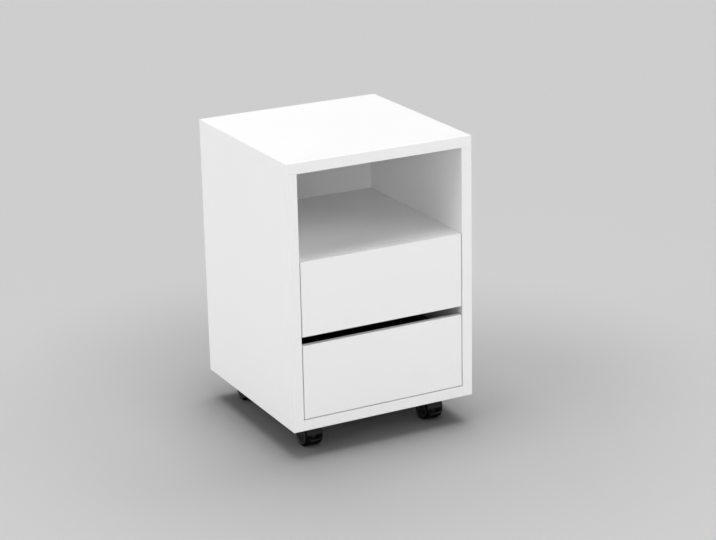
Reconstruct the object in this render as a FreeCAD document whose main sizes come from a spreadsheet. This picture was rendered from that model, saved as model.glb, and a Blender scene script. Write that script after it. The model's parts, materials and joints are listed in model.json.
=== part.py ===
import FreeCAD, Part
import os
import Sketcher

# Rolling drawer cabinet: an open niche over two drawers, on four twin-wheel casters.
# X runs to the right as the fronts are faced, the fronts face -Y, and Z is up.
# The origin is on the floor under the middle of the cabinet. Lengths are in millimetres.

DRIVING_SIZES = [
    # the boards of the case
    ("cabinet_width", 400, "width of the case"),
    ("cabinet_depth", 400, "depth of the case, front faces to rear faces"),
    ("case_height", 540, "height of the case without its casters"),
    ("board", 22, "thickness of the top, sides, bottom and shelf"),
    ("back_board", 22, "thickness of the back"),
    ("niche_height", 174, "clear height of the open niche"),
    ("edge_round", 0.6, "rounding of the banded edges"),
    # the dowels of the case
    ("dowel_radius", 4, "radius of a dowel"),
    ("dowel_length", 35, "length of a dowel"),
    ("dowel_seat", 12, "depth of a dowel in the face of a board"),
    ("dowel_inset", 50, "first and last dowel from the ends of a joint"),
    ("glue_play", 0.05, "room round a dowel and at its ends"),
    # the drawers
    ("front_board", 12, "thickness of a drawer front"),
    ("reveal", 2, "gap between a drawer front and the case"),
    ("finger_gap", 18, "gap between the two fronts that the fingers reach into"),
    ("front_clearance", 2, "space behind a front to the shelf and the slides"),
    ("box_board", 12, "thickness of the boards of a drawer box"),
    ("box_height", 100, "height of a drawer box"),
    ("box_lift", 10, "lower edge of a box above the lower edge of its front"),
    ("floor_board", 4, "thickness of a drawer floor"),
    ("floor_lift", 8, "drawer floor above the lower edge of its box"),
    ("groove_depth", 6, "depth of the groove that holds a drawer floor"),
    ("groove_play", 0.1, "room round a drawer floor in its groove"),
    # the ball slides
    ("slide_back_gap", 14, "room behind the slides, to the back of the case"),
    ("slide_travel", 260, "how far a slide pulls out"),
    ("slide_height", 35, "height of the case member of a slide"),
    ("slide_depth", 12.7, "space between the case and a drawer box"),
    ("slide_metal", 1.2, "sheet thickness of both members"),
    ("slide_lift", 40, "middle of a slide above the lower edge of its box"),
    ("curl_opening", 25, "angle left open by the curled edge, in degrees"),
    ("flange_overlap", 0.5, "reach of the drawer member past the middle of the balls"),
    ("runner_round", 1.4, "rounding of the corners of the drawer member"),
    ("ball_radius", 2, "radius of a ball"),
    ("ball_play", 0.2, "room between a ball and its track"),
    ("ball_count", 5, "balls in a row"),
    ("cage_margin", 2, "cage inside the ends of both members when pulled out"),
    ("cage_metal", 0.8, "thickness of the ball cage"),
    ("cage_wall_gap", 0.4, "room between the cage and the case member"),
    ("cage_finger_side", 1.6, "reach of a cage finger past the middle of the balls"),
    ("cage_finger_over", 0.8, "reach of a cage finger above the middle of the balls"),
    ("cage_finger_under", 1.3, "reach of a cage finger below the middle of the balls"),
    ("cage_finger_play", 0.3, "room between a ball and the fingers beside it"),
    # the screws of the slides and drawers
    ("slide_screw_inset", 35, "first and last slide screw from the ends of a member"),
    ("slide_screw_radius", 1.6, "radius of a slide screw"),
    ("slide_screw_head", 2.6, "radius of the head of a slide screw"),
    ("slide_screw_length", 10, "length of a slide screw with its head"),
    ("box_screw_radius", 1.75, "radius of a screw that joins a drawer box"),
    ("box_screw_head", 3.4, "radius of the head of a box screw"),
    ("box_screw_length", 38, "length of a box screw with its head"),
    ("box_screw_inset", 20, "box screws from the upper and lower edges of a box"),
    ("front_screw_radius", 2, "radius of a screw that holds a drawer front"),
    ("front_screw_head", 4, "radius of the head of a front screw"),
    ("front_screw_head_height", 2.4, "height of the head of a front screw"),
    ("front_screw_shank", 20, "length of a front screw under its head"),
    ("front_screw_inset_x", 60, "front screws from the sides of the box"),
    ("front_screw_inset_z", 25, "front screws from the edges of the inner front"),
    ("screw_play", 0.05, "room round a screw in its hole"),
    ("screw_end_play", 1, "room at the tip of a screw"),
    # the casters
    ("caster_height", 60, "floor to the underside of the case"),
    ("caster_inset_side", 64, "swivel pin from the side face of the case"),
    ("caster_inset_front", 48, "swivel pin of a front caster from the front of the case"),
    ("caster_inset_rear", 70, "swivel pin of a rear caster from the rear of the case"),
    ("plate_side", 42, "side of the square caster plate"),
    ("plate_metal", 2, "thickness of the caster plate"),
    ("plate_corner", 4, "corner radius of the caster plate"),
    ("plate_hole_spacing", 32, "distance between the holes of the caster plate"),
    ("plate_screw_radius", 2, "radius of a caster screw"),
    ("plate_screw_head", 3.6, "radius of the head of a caster screw"),
    ("plate_screw_head_height", 2.2, "height of the head of a caster screw"),
    ("plate_screw_shank", 16, "length of a caster screw under its head"),
    ("plate_hole_play", 0.25, "room round a caster screw in the plate"),
    ("pin_radius", 4, "radius of the swivel pin"),
    ("pin_flange_radius", 6.5, "radius of the flange that bears on the fork"),
    ("pin_flange_height", 1.6, "height of that flange"),
    ("pin_reach", 26, "length of the swivel pin under its flange"),
    ("pin_play", 0.05, "running room round the swivel pin"),
    ("socket_radius", 6, "radius of the socket that takes the swivel pin"),
    ("bearing_play", 0.3, "room between the flange and the fork"),
    ("trail", 18, "wheel axle behind the swivel pin"),
    ("wheel_radius", 25, "radius of a wheel"),
    ("wheel_width", 12, "width of a wheel"),
    ("wheel_shoulder", 4, "rounding of the outer edge of a tread"),
    ("wheel_inner_round", 1, "rounding of the inner edge of a tread"),
    ("wheel_rim", 4.5, "thickness of the rim of a wheel"),
    ("wheel_face", 4, "thickness of the outer face of a wheel"),
    ("wheel_hub_radius", 6.5, "radius of the hub of a wheel"),
    ("wheel_bore_depth", 9.5, "depth of the axle bore of a wheel"),
    ("wheel_side_gap", 0.5, "room between a wheel and the fork"),
    ("dish_radius", 19, "outer radius of the dish in a wheel face"),
    ("dish_depth", 1.2, "depth of that dish"),
    ("cap_radius", 8.5, "radius of the raised cap in a wheel face"),
    ("axle_radius", 3, "radius of the wheel axle"),
    ("axle_play", 0.05, "running room round the axle"),
    ("axle_end_play", 0.5, "room at the ends of the axle"),
    ("web_width", 13, "width of the fork between the wheels"),
    ("web_inset", 1.5, "fork edge inside the treads"),
    ("web_floor_clearance", 5, "fork above the floor"),
    ("hood_width", 34, "width of the hood over the wheels"),
    ("hood_gap", 1.5, "room between a tread and the hood"),
    ("hood_wall", 2, "thickness of the hood"),
    ("hood_reach", 125, "angle that the hood covers, from the axle height in front, in degrees"),
    ("hood_lip", 4.8, "front lip of the hood above the axle height"),
    ("hood_round", 0.8, "rounding of the outer edges of the hood"),
    # the brake pedals of the front casters, placed from the swivel pin
    ("pedal_outer", 14.5, "middle of the front edge of a pedal in front of the swivel pin"),
    ("pedal_rear", 7.6, "rear edge of a pedal in front of the swivel pin"),
    ("pedal_bow", 16.7, "radius of the bowed front edge of a pedal"),
    ("pedal_metal", 3.5, "thickness of a pedal"),
    ("pedal_level", 17.8, "underside of a pedal above the floor"),
    ("brake_pin_y", 0.5, "brake pin in front of the swivel pin"),
    ("brake_pin_level", 24, "brake pin above the floor"),
    ("brake_pin_radius", 1.25, "radius of the brake pin"),
    ("brake_pin_play", 0.05, "running room round the brake pin"),
    ("pedal_boss_radius", 3, "radius of the pedal round its pin"),
    ("pedal_arm_width", 8, "width of the arm of a pedal"),
    ("pedal_arm_rear", 1.5, "rear of the arm behind the swivel pin"),
    ("notch_side", 0.5, "room beside the arm in the fork"),
    ("notch_above", 0.5, "room above the boss in the fork"),
    ("notch_rear", 3, "room behind the arm in the fork"),
]

SAME = 1e-3

doc = FreeCAD.newDocument("rolling_drawer_cabinet")
sheet = doc.addObject("Spreadsheet::Sheet", "Sizes")
for row, (alias, number, meaning) in enumerate(DRIVING_SIZES, start=1):
    sheet.set(f"A{row}", meaning)
    sheet.set(f"B{row}", str(number))
    sheet.setAlias(f"B{row}", alias)
doc.recompute()


class Size:
    """A size: its number in millimetres or degrees, and the expression that the document keeps."""

    def __init__(self, number, text):
        self.number = float(number)
        self.text = text

    def __add__(self, other):
        other = plain(other)
        return Size(self.number + other.number, f"({self.text} + {other.text})")

    def __sub__(self, other):
        other = plain(other)
        return Size(self.number - other.number, f"({self.text} - {other.text})")

    def __mul__(self, factor):
        factor = plain(factor)
        return Size(self.number * factor.number, f"({self.text} * {factor.text})")

    def __truediv__(self, divisor):
        divisor = plain(divisor)
        return Size(self.number / divisor.number, f"({self.text} / {divisor.text})")

    def __neg__(self):
        return Size(-self.number, f"(0 - {self.text})")


def plain(thing):
    """A plain number as a Size, and a Size as it is."""
    if isinstance(thing, Size):
        return thing
    number = float(thing)
    return Size(number, repr(number) if number >= 0 else f"(0 - {-number})")


def size(alias):
    """The driving size of that name."""
    return Size(sheet.get(alias), f"Sizes.{alias}")


def bind(thing, path, length):
    """Tie a property of a document object to an expression over the driving sizes."""
    thing.setExpression(path, plain(length).text)


def place(thing, corner, rotation=None):
    """Put an object at a corner, turned by a fixed rotation."""
    if rotation is not None:
        thing.Placement = FreeCAD.Placement(FreeCAD.Vector(0, 0, 0), rotation)
    for letter, length in zip("xyz", corner):
        bind(thing, f"Placement.Base.{letter}", length)
    return thing


# Fixed turns, named for where the object's own Z goes
UPRIGHT = FreeCAD.Rotation()
TO_PLUS_X = FreeCAD.Rotation(FreeCAD.Vector(0, 1, 0), 90)
TO_MINUS_X = FreeCAD.Rotation(FreeCAD.Vector(0, 1, 0), -90)
TO_PLUS_Y = FreeCAD.Rotation(FreeCAD.Vector(1, 0, 0), -90)
TO_MINUS_Y = FreeCAD.Rotation(FreeCAD.Vector(1, 0, 0), 90)
TO_MINUS_Z = FreeCAD.Rotation(FreeCAD.Vector(1, 0, 0), 180)
HALF_TURN_Z = FreeCAD.Rotation(FreeCAD.Vector(0, 0, 1), 180)
HALF_TURN_Y = FreeCAD.Rotation(FreeCAD.Vector(0, 1, 0), 180)

# A turn for sectors about X that start in front and rise over the top
FRONT_TO_TOP = TO_MINUS_X.multiply(FreeCAD.Rotation(FreeCAD.Vector(0, 0, 1), -90))

finished = {}


def finish(thing, node):
    """Name a sub-part and enter it for export."""
    thing.Label = node
    finished[node] = thing
    return thing


def child(kind, name):
    """A new document object."""
    return doc.addObject(kind, name)


# Bodies with sketches

def start_body(node):
    """An empty body that carries the name of its sub-part."""
    return finish(child("PartDesign::Body", node), node)


def origin_feature(body, role):
    """The body's own plane or axis of that role."""
    for feature in body.Origin.OriginFeatures:
        if feature.Role == role:
            return feature
    raise ValueError(f"{body.Label} has no {role}")


def start_sketch(body, name, role, offset=0):
    """A sketch on one of the body's origin planes, moved along the plane's normal."""
    sketch = body.newObject("Sketcher::SketchObject", name)
    sketch.AttachmentSupport = [(origin_feature(body, role), "")]
    sketch.MapMode = "FlatFace"
    bind(sketch, "AttachmentOffset.Base.z", offset)
    return sketch


def dimension(sketch, kind, name, places, length):
    """A named dimension of a sketch, tied to a size."""
    number = sketch.addConstraint(Sketcher.Constraint(kind, *places, plain(length).number))
    sketch.renameConstraint(number, name)
    bind(sketch, f"Constraints.{name}", length)


def fix_point(sketch, name, geometry, point, across, along):
    """Fix a point of a sketch at two distances from the sketch's origin."""
    dimension(sketch, "DistanceX", f"{name}_x", (-1, 1, geometry, point), across)
    dimension(sketch, "DistanceY", f"{name}_y", (-1, 1, geometry, point), along)


def add_line(sketch, start, end):
    """A straight edge of a sketch between two places."""
    ends = [FreeCAD.Vector(plain(x).number, plain(y).number, 0) for x, y in (start, end)]
    return sketch.addGeometry(Part.LineSegment(*ends), False)


def add_rectangle(sketch, low, high, name="side"):
    """An upright rectangle from its low corner to its high corner."""
    (left, bottom), (right, top) = low, high
    corners = [(left, bottom), (right, bottom), (right, top), (left, top)]
    lines = [add_line(sketch, corners[i], corners[(i + 1) % 4]) for i in range(4)]
    for i in range(4):
        sketch.addConstraint(Sketcher.Constraint("Coincident", lines[i], 2, lines[(i + 1) % 4], 1))
        level = "Horizontal" if i % 2 == 0 else "Vertical"
        sketch.addConstraint(Sketcher.Constraint(level, lines[i]))
    fix_point(sketch, f"{name}_low", lines[0], 1, left, bottom)
    fix_point(sketch, f"{name}_high", lines[2], 1, right, top)


def add_polygon(sketch, corners):
    """A closed outline of straight edges, each corner fixed in place."""
    count = len(corners)
    lines = [add_line(sketch, corners[i], corners[(i + 1) % count]) for i in range(count)]
    for i, (across, along) in enumerate(corners):
        sketch.addConstraint(Sketcher.Constraint("Coincident", lines[i - 1], 2, lines[i], 1))
        fix_point(sketch, f"corner_{i}", lines[i], 1, across, along)


def add_circle(sketch, name, centre, radius):
    """A circle of a sketch with its centre and radius fixed."""
    middle = FreeCAD.Vector(plain(centre[0]).number, plain(centre[1]).number, 0)
    circle = Part.Circle(middle, FreeCAD.Vector(0, 0, 1), plain(radius).number)
    geometry = sketch.addGeometry(circle, False)
    fix_point(sketch, name, geometry, 3, *centre)
    dimension(sketch, "Radius", f"{name}_radius", (geometry,), radius)


def cut(body, sketch, depth, forward):
    """Pocket a sketch into the body, along the plane's normal when forward, and check that it cuts."""
    before = body.Shape.Volume
    pocket = body.newObject("PartDesign::Pocket", f"{sketch.Name}_cut")
    pocket.Profile = sketch
    pocket.Reversed = forward
    bind(pocket, "Length", depth)
    doc.recompute()
    if body.Shape.Volume >= before:
        raise ValueError(f"{pocket.Name} cuts nothing")


def drill(body, name, role, offset, centres, radius, depth, forward):
    """Round holes of one radius and depth, from a plane at an offset."""
    sketch = start_sketch(body, f"{body.Name}_{name}", role, offset)
    for i, centre in enumerate(centres):
        add_circle(sketch, f"hole_{i}", centre, radius)
    cut(body, sketch, depth, forward)


def groove(body, name, role, offset, low, high, depth, forward):
    """A straight-sided groove, from a plane at an offset."""
    sketch = start_sketch(body, f"{body.Name}_{name}", role, offset)
    add_rectangle(sketch, low, high)
    cut(body, sketch, depth, forward)


def cut_board(node, corner, extent):
    """A plain board from its low corner in the cabinet, with its own origin at that corner."""
    body = start_body(node)
    sketch = start_sketch(body, f"{node}_outline", "XY_Plane")
    add_rectangle(sketch, (0, 0), (extent[0], extent[1]))
    pad = body.newObject("PartDesign::Pad", f"{node}_pad")
    pad.Profile = sketch
    bind(pad, "Length", extent[2])
    place(body, corner)
    doc.recompute()
    return body


def round_edges(body, name, radius, chosen):
    """Round the edges of the body, in its own frame, that the test picks."""
    tip = body.Tip
    picked = [f"Edge{i}" for i, edge in enumerate(tip.Shape.Edges, start=1) if chosen(edge)]
    if not picked:
        raise ValueError(f"{body.Label} has no edge for {name}")
    fillet = body.newObject("PartDesign::Fillet", f"{body.Name}_{name}")
    fillet.Base = (tip, picked)
    bind(fillet, "Radius", radius)
    doc.recompute()


def lies_on(edge, letter, length):
    """Whether an edge lies on a plane across X, Y or Z."""
    bounds = edge.BoundBox
    level = plain(length).number
    low, high = getattr(bounds, f"{letter}Min"), getattr(bounds, f"{letter}Max")
    return abs(low - level) < SAME and abs(high - level) < SAME


def board_edge(edge, thickness):
    """Whether an edge is a straight one of the board itself, at least as long as it is thick."""
    return isinstance(edge.Curve, Part.Line) and edge.Length > thickness.number - SAME


# Part primitives and booleans

def box(name, corner, extent):
    """A block from its low corner."""
    block = child("Part::Box", name)
    for side, length in zip(("Length", "Width", "Height"), extent):
        bind(block, side, length)
    return place(block, corner)


def cylinder(name, base, rotation, radius, height, angle=360):
    """A cylinder or a sector of one, from the middle of its base."""
    rod = child("Part::Cylinder", name)
    bind(rod, "Radius", radius)
    bind(rod, "Height", height)
    bind(rod, "Angle", angle)
    return place(rod, base, rotation)


def cone(name, base, rotation, base_radius, top_radius, height):
    """A cut-off cone, from the middle of its base."""
    taper = child("Part::Cone", name)
    bind(taper, "Radius1", base_radius)
    bind(taper, "Radius2", top_radius)
    bind(taper, "Height", height)
    return place(taper, base, rotation)


def fuse(name, pieces):
    """One solid made of touching pieces."""
    joined = child("Part::MultiFuse", name)
    joined.Shapes = pieces
    joined.Refine = True
    return joined


def group(name, pieces):
    """Separate solids kept together."""
    bundle = child("Part::Compound", name)
    bundle.Links = pieces
    return bundle


def carve(name, base, tool):
    """A solid with a tool cut out of it."""
    rest = child("Part::Cut", name)
    rest.Base = base
    rest.Tool = tool
    rest.Refine = True
    return rest


def offset(place_from, rotation, along):
    """The place that lies at a distance along a rotation's own Z."""
    direction = rotation.multVec(FreeCAD.Vector(0, 0, 1))
    return [plain(start) + along * round(step) for start, step in zip(place_from, direction)]


def pan_screw(name, seat, rotation, radius, head_radius, head_height, shank):
    """A screw with a flat-topped round head, whose shank runs along the rotation from its seat."""
    head_top = offset(seat, rotation, -head_height)
    head = cylinder(f"{name}_head", head_top, rotation, head_radius, head_height)
    rod = cylinder(f"{name}_shank", seat, rotation, radius, shank)
    return fuse(name, [head, rod])


def sunk_screw(name, face, rotation, radius, head_radius, length):
    """A screw whose tapered head is flush with a face."""
    head_height = head_radius - radius
    head = cone(f"{name}_head", face, rotation, head_radius, radius, head_height)
    neck = offset(face, rotation, head_height)
    rod = cylinder(f"{name}_shank", neck, rotation, radius, length - head_height)
    return fuse(name, [head, rod])


def sunk_hole(name, face, rotation, radius, head_radius, length):
    """What a flush screw needs cut away, with the play that its sizes are given."""
    head = cone(f"{name}_sink", face, rotation, head_radius, radius, head_radius - radius)
    rod = cylinder(f"{name}_way", face, rotation, radius, length)
    return fuse(name, [head, rod])


# Levels and faces that several pieces share

width = size("cabinet_width")
depth = size("cabinet_depth")
board = size("board")
half_width = width / 2
half_depth = depth / 2
case_bottom = size("caster_height")
case_top = case_bottom + size("case_height")
inner_width = width - board * 2
inner_half = inner_width / 2
floor_top = case_bottom + board
top_underside = case_top - board
shelf_top = top_underside - size("niche_height")
shelf_underside = shelf_top - board
back_front_face = depth - size("back_board")

# A drawer front and its place
front_board = size("front_board")
front_width = inner_width - size("reveal") * 2
front_height = (shelf_top - floor_top - size("reveal") - size("finger_gap")) / 2
front_bottom = {
    "lower": floor_top + size("reveal"),
    "upper": floor_top + size("reveal") + front_height + size("finger_gap"),
}

# A drawer box, measured from its low corner behind the left end of the front
box_board = size("box_board")
box_height = size("box_height")
slide_start = front_board + size("front_clearance")
slide_length = back_front_face - slide_start - size("slide_back_gap")
box_length = size("front_clearance") + slide_length
box_width = inner_width - size("slide_depth") * 2
box_inner_width = box_width - box_board * 2
box_left = -(box_width / 2)
box_front = -half_depth + front_board
box_bottom = {tier: front_bottom[tier] + size("box_lift") for tier in ("lower", "upper")}
slide_level = {tier: box_bottom[tier] + size("slide_lift") for tier in ("lower", "upper")}

TIERS = ("upper", "lower")
SIDES = {"left": -1, "right": 1}
ENDS = ("front", "rear")

# Dowels: their places along the depth, and the holes for them
dowel_play = size("glue_play")
dowel_hole = size("dowel_radius") + dowel_play
seat_hole = size("dowel_seat") + dowel_play
end_hole = size("dowel_length") - size("dowel_seat") + dowel_play
dowel_rows = [size("dowel_inset"), depth / 2, depth - size("dowel_inset")]
back_middle = depth - size("back_board") / 2
back_rows = [floor_top + size("dowel_inset"), top_underside - size("dowel_inset")]

# Slide screws along a member
slide_screw_rows = [
    size("slide_screw_inset"),
    slide_length / 2,
    slide_length - size("slide_screw_inset"),
]
screw_play = size("screw_play")
slide_screw_hole = size("slide_screw_radius") + screw_play
slide_pilot = size("slide_screw_length") - size("slide_metal") + size("screw_end_play")


def dowel(number, base, rotation):
    """One dowel from the middle of the end that sits in the face of a board."""
    return cylinder(f"dowel_{number}", base, rotation, size("dowel_radius"), size("dowel_length"))


def build_case():
    """The six boards of the case, drilled for their dowels, slide screws and caster screws."""
    rounding = size("edge_round")
    top = cut_board("top_panel", (-half_width, -half_depth, top_underside), (width, depth, board))
    joints = [(x, y) for x in (board / 2, width - board / 2) for y in dowel_rows]
    drill(top, "dowel_holes", "XY_Plane", 0, joints, dowel_hole, seat_hole, True)
    round_edges(top, "banding", rounding, lambda e: board_edge(e, board))

    side_height = top_underside - case_bottom
    for side, sign in SIDES.items():
        left = -half_width if sign < 0 else half_width - board
        wall = cut_board(f"side_panel_{side}", (left, -half_depth, case_bottom), (board, depth, side_height))
        inner_face = board if sign < 0 else plain(0)
        into_wall = sign > 0
        upper_ends = [(board / 2, y) for y in dowel_rows]
        drill(wall, "top_dowels", "XY_Plane", side_height, upper_ends, dowel_hole, end_hole, False)
        levels = [board / 2, shelf_underside - case_bottom + board / 2]
        seats = [(y, z) for z in levels for y in dowel_rows]
        seats += [(back_middle, z - case_bottom) for z in back_rows]
        drill(wall, "shelf_dowels", "YZ_Plane", inner_face, seats, dowel_hole, seat_hole, into_wall)
        pilots = [(slide_start + y, slide_level[tier] - case_bottom)
                  for tier in TIERS for y in slide_screw_rows]
        drill(wall, "slide_pilots", "YZ_Plane", inner_face, pilots, slide_screw_hole, slide_pilot, into_wall)
        outer_face = plain(0) if sign < 0 else board
        round_edges(wall, "banding", rounding, lambda e: board_edge(e, board)
                    and (lies_on(e, "X", outer_face) or not lies_on(e, "Z", side_height)))

    boards = {
        "bottom_panel": (case_bottom, plain(0), depth),
        "shelf_panel": (shelf_underside, slide_start, back_front_face - slide_start),
    }
    for node, (level, setback, length) in boards.items():
        shelf = cut_board(node, (-inner_half, setback - half_depth, level), (inner_width, length, board))
        ends = [(y - setback, board / 2) for y in dowel_rows]
        drill(shelf, "left_dowels", "YZ_Plane", 0, ends, dowel_hole, end_hole, True)
        drill(shelf, "right_dowels", "YZ_Plane", inner_width, ends, dowel_hole, end_hole, False)
        if node == "bottom_panel":
            drill_caster_pilots(shelf)
        round_edges(shelf, "banding", rounding,
                    lambda e: lies_on(e, "Y", 0) and e.Length > board.number * 2)

    back = cut_board("back_panel", (-inner_half, back_front_face - half_depth, floor_top),
                     (inner_width, size("back_board"), top_underside - floor_top))
    ends = [(size("back_board") / 2, z - floor_top) for z in back_rows]
    drill(back, "left_dowels", "YZ_Plane", 0, ends, dowel_hole, end_hole, True)
    drill(back, "right_dowels", "YZ_Plane", inner_width, ends, dowel_hole, end_hole, False)


def drill_caster_pilots(bottom):
    """Pilot holes for the caster screws in the underside of the bottom panel."""
    pilots = []
    for sign in SIDES.values():
        for end in ENDS:
            middle_x, middle_y, _ = caster_middle(sign, end)
            pilots += [(inner_half + middle_x + across, half_depth + middle_y + along)
                       for across, along in plate_hole_offsets()]
    radius = size("plate_screw_radius") + screw_play
    reach = size("plate_screw_shank") - size("plate_metal") + size("screw_end_play")
    drill(bottom, "caster_pilots", "XY_Plane", 0, pilots, radius, reach, True)


def build_dowels():
    """All dowels of the case, as one group."""
    seat = size("dowel_seat")
    dowels = []
    for side, sign in SIDES.items():
        wall_middle = (half_width - board / 2) * sign
        for row in dowel_rows:
            base = (wall_middle, row - half_depth, top_underside + seat)
            dowels.append(dowel(len(dowels), base, TO_MINUS_Z))
        seat_x = (inner_half + seat) * sign
        inwards = TO_PLUS_X if sign < 0 else TO_MINUS_X
        places = [(row, level + board / 2) for level in (case_bottom, shelf_underside) for row in dowel_rows]
        places += [(back_middle, level) for level in back_rows]
        for row, level in places:
            dowels.append(dowel(len(dowels), (seat_x, row - half_depth, level), inwards))
    finish(group("dowels", dowels), "case_dowels")


# The drawers

def build_drawer(tier):
    """The boards and screws of one drawer."""
    bottom = box_bottom[tier]
    left_inner = box_left + box_board
    floor_play = size("groove_play")
    groove_low = size("floor_lift") - floor_play
    groove_high = size("floor_lift") + size("floor_board") + floor_play
    groove_depth = size("groove_depth") + floor_play
    screw_levels = [size("box_screw_inset"), box_height - size("box_screw_inset")]
    screw_rows = [box_board / 2, box_length - box_board / 2]

    front = cut_board(f"{tier}_drawer_front", (-(front_width / 2), -half_depth, front_bottom[tier]),
                      (front_width, front_board, front_height))
    centres = front_screw_centres()
    shift = box_inner_width / 2 - front_width / 2
    pilots = [(x - shift, z + size("box_lift")) for x, z in centres]
    pilot_depth = size("front_screw_shank") - box_board + size("screw_end_play")
    front_hole = size("front_screw_radius") + screw_play
    drill_y(front, "screw_pilots", front_board, pilots, front_hole, pilot_depth, False)
    round_edges(front, "banding", size("edge_round"), lambda e: board_edge(e, front_board))

    for side, sign in SIDES.items():
        left = box_left if sign < 0 else -box_left - box_board
        wall = cut_board(f"{tier}_box_side_{side}", (left, box_front, bottom),
                         (box_board, box_length, box_height))
        inner_face = box_board if sign < 0 else plain(0)
        outer_face = plain(0) if sign < 0 else box_board
        groove(wall, "floor_groove", "YZ_Plane", inner_face,
               (box_board - groove_depth, groove_low), (box_length - box_board + groove_depth, groove_high),
               groove_depth, sign > 0)
        ways = [(y, z) for y in screw_rows for z in screw_levels]
        way = size("box_screw_radius") + screw_play
        drill(wall, "screw_ways", "YZ_Plane", outer_face, ways, way, box_board, sign < 0)
        sink = size("box_screw_head") - size("box_screw_radius")
        sink_holes(wall, "YZ_Plane", outer_face, way, sink)
        pilots = [(size("front_clearance") + y, size("slide_lift")) for y in slide_screw_rows]
        drill(wall, "slide_pilots", "YZ_Plane", outer_face, pilots, slide_screw_hole, slide_pilot, sign < 0)

    ends = {
        "inner_front": (plain(0), box_board, False),
        "box_back": (box_length - box_board, plain(0), True),
    }
    for piece, (row, groove_face, into_back) in ends.items():
        node = f"{tier}_{piece}"
        panel = cut_board(node, (left_inner, box_front + row, bottom),
                          (box_inner_width, box_board, box_height))
        groove(panel, "floor_groove", "XZ_Plane", -groove_face, (0, groove_low),
               (box_inner_width, groove_high), groove_depth, not into_back)
        pilots = [(box_board / 2, z) for z in screw_levels]
        pilot = size("box_screw_radius") + screw_play
        reach = size("box_screw_length") - box_board + size("screw_end_play")
        drill(panel, "left_pilots", "YZ_Plane", 0, pilots, pilot, reach, True)
        drill(panel, "right_pilots", "YZ_Plane", box_inner_width, pilots, pilot, reach, False)
        if piece == "inner_front":
            drill_y(panel, "front_screw_ways", box_board, centres, front_hole, box_board, False)

    tongue = size("groove_depth")
    cut_board(f"{tier}_drawer_floor",
              (left_inner - tongue, box_front + box_board - tongue, bottom + size("floor_lift")),
              (box_inner_width + tongue * 2, box_length - box_board * 2 + tongue * 2, size("floor_board")))
    build_box_screws(tier, screw_rows, screw_levels)
    build_front_screws(tier, centres)


def drill_y(body, name, row, centres, radius, length, forward):
    """Round holes along Y, from a plane at that row. The plane's normal points to -Y."""
    drill(body, name, "XZ_Plane", -row, centres, radius, length, not forward)


def sink_holes(body, role, face, way, sink):
    """Taper the mouths, on one face, of the holes of one radius."""
    tip = body.Tip
    level = plain(face).number
    letter = {"YZ_Plane": "X", "XZ_Plane": "Y"}[role]
    picked = []
    for i, edge in enumerate(tip.Shape.Edges, start=1):
        round_mouth = hasattr(edge.Curve, "Radius") and abs(edge.Curve.Radius - way.number) < SAME
        if round_mouth and lies_on(edge, letter, level):
            picked.append(f"Edge{i}")
    chamfer = body.newObject("PartDesign::Chamfer", f"{body.Name}_sinks")
    chamfer.Base = (tip, picked)
    bind(chamfer, "Size", sink)
    doc.recompute()


def front_screw_centres():
    """The four screws that hold a front, from the low inner corner of the box."""
    across = [size("front_screw_inset_x"), box_inner_width - size("front_screw_inset_x")]
    levels = [size("front_screw_inset_z"), box_height - size("front_screw_inset_z")]
    return [(x, z) for x in across for z in levels]


def build_box_screws(tier, rows, levels):
    """The screws that join the box sides to the inner front and the box back."""
    screws = []
    for side, sign in SIDES.items():
        inwards = TO_PLUS_X if sign < 0 else TO_MINUS_X
        for row in rows:
            for level in levels:
                face = (box_width / 2 * sign, box_front + row, box_bottom[tier] + level)
                screws.append(sunk_screw(f"{tier}_box_screw_{len(screws)}", face, inwards,
                                         size("box_screw_radius"), size("box_screw_head"),
                                         size("box_screw_length")))
    finish(group(f"{tier}_box_screw_group", screws), f"{tier}_box_screws")


def build_front_screws(tier, centres):
    """The screws that hold the front from inside the drawer."""
    screws = []
    for x, z in centres:
        seat = (box_left + box_board + x, box_front + box_board, box_bottom[tier] + z)
        screws.append(pan_screw(f"{tier}_front_screw_{len(screws)}", seat, TO_MINUS_Y,
                                size("front_screw_radius"), size("front_screw_head"),
                                size("front_screw_head_height"), size("front_screw_shank")))
    finish(group(f"{tier}_front_screw_group", screws), f"{tier}_front_screws")


# The ball slides. Each member is made for the left side of the case, in a frame of its own:
# X from the case wall to the drawer, Y along the slide, Z up from its middle.
# It is alike above and below its middle, so a half turn about Y makes it fit the right side.

track = size("ball_radius") + size("ball_play")
curl_outer = track + size("slide_metal")
ball_x = curl_outer
ball_z = size("slide_height") / 2 - curl_outer
runner_half = ball_z - track


def slide_place(thing, tier, sign, row):
    """Put a slide piece against a side wall of the case, at a row along the depth."""
    turn = UPRIGHT if sign < 0 else HALF_TURN_Y
    return place(thing, (inner_half * sign, row - half_depth, slide_level[tier]), turn)


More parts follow.
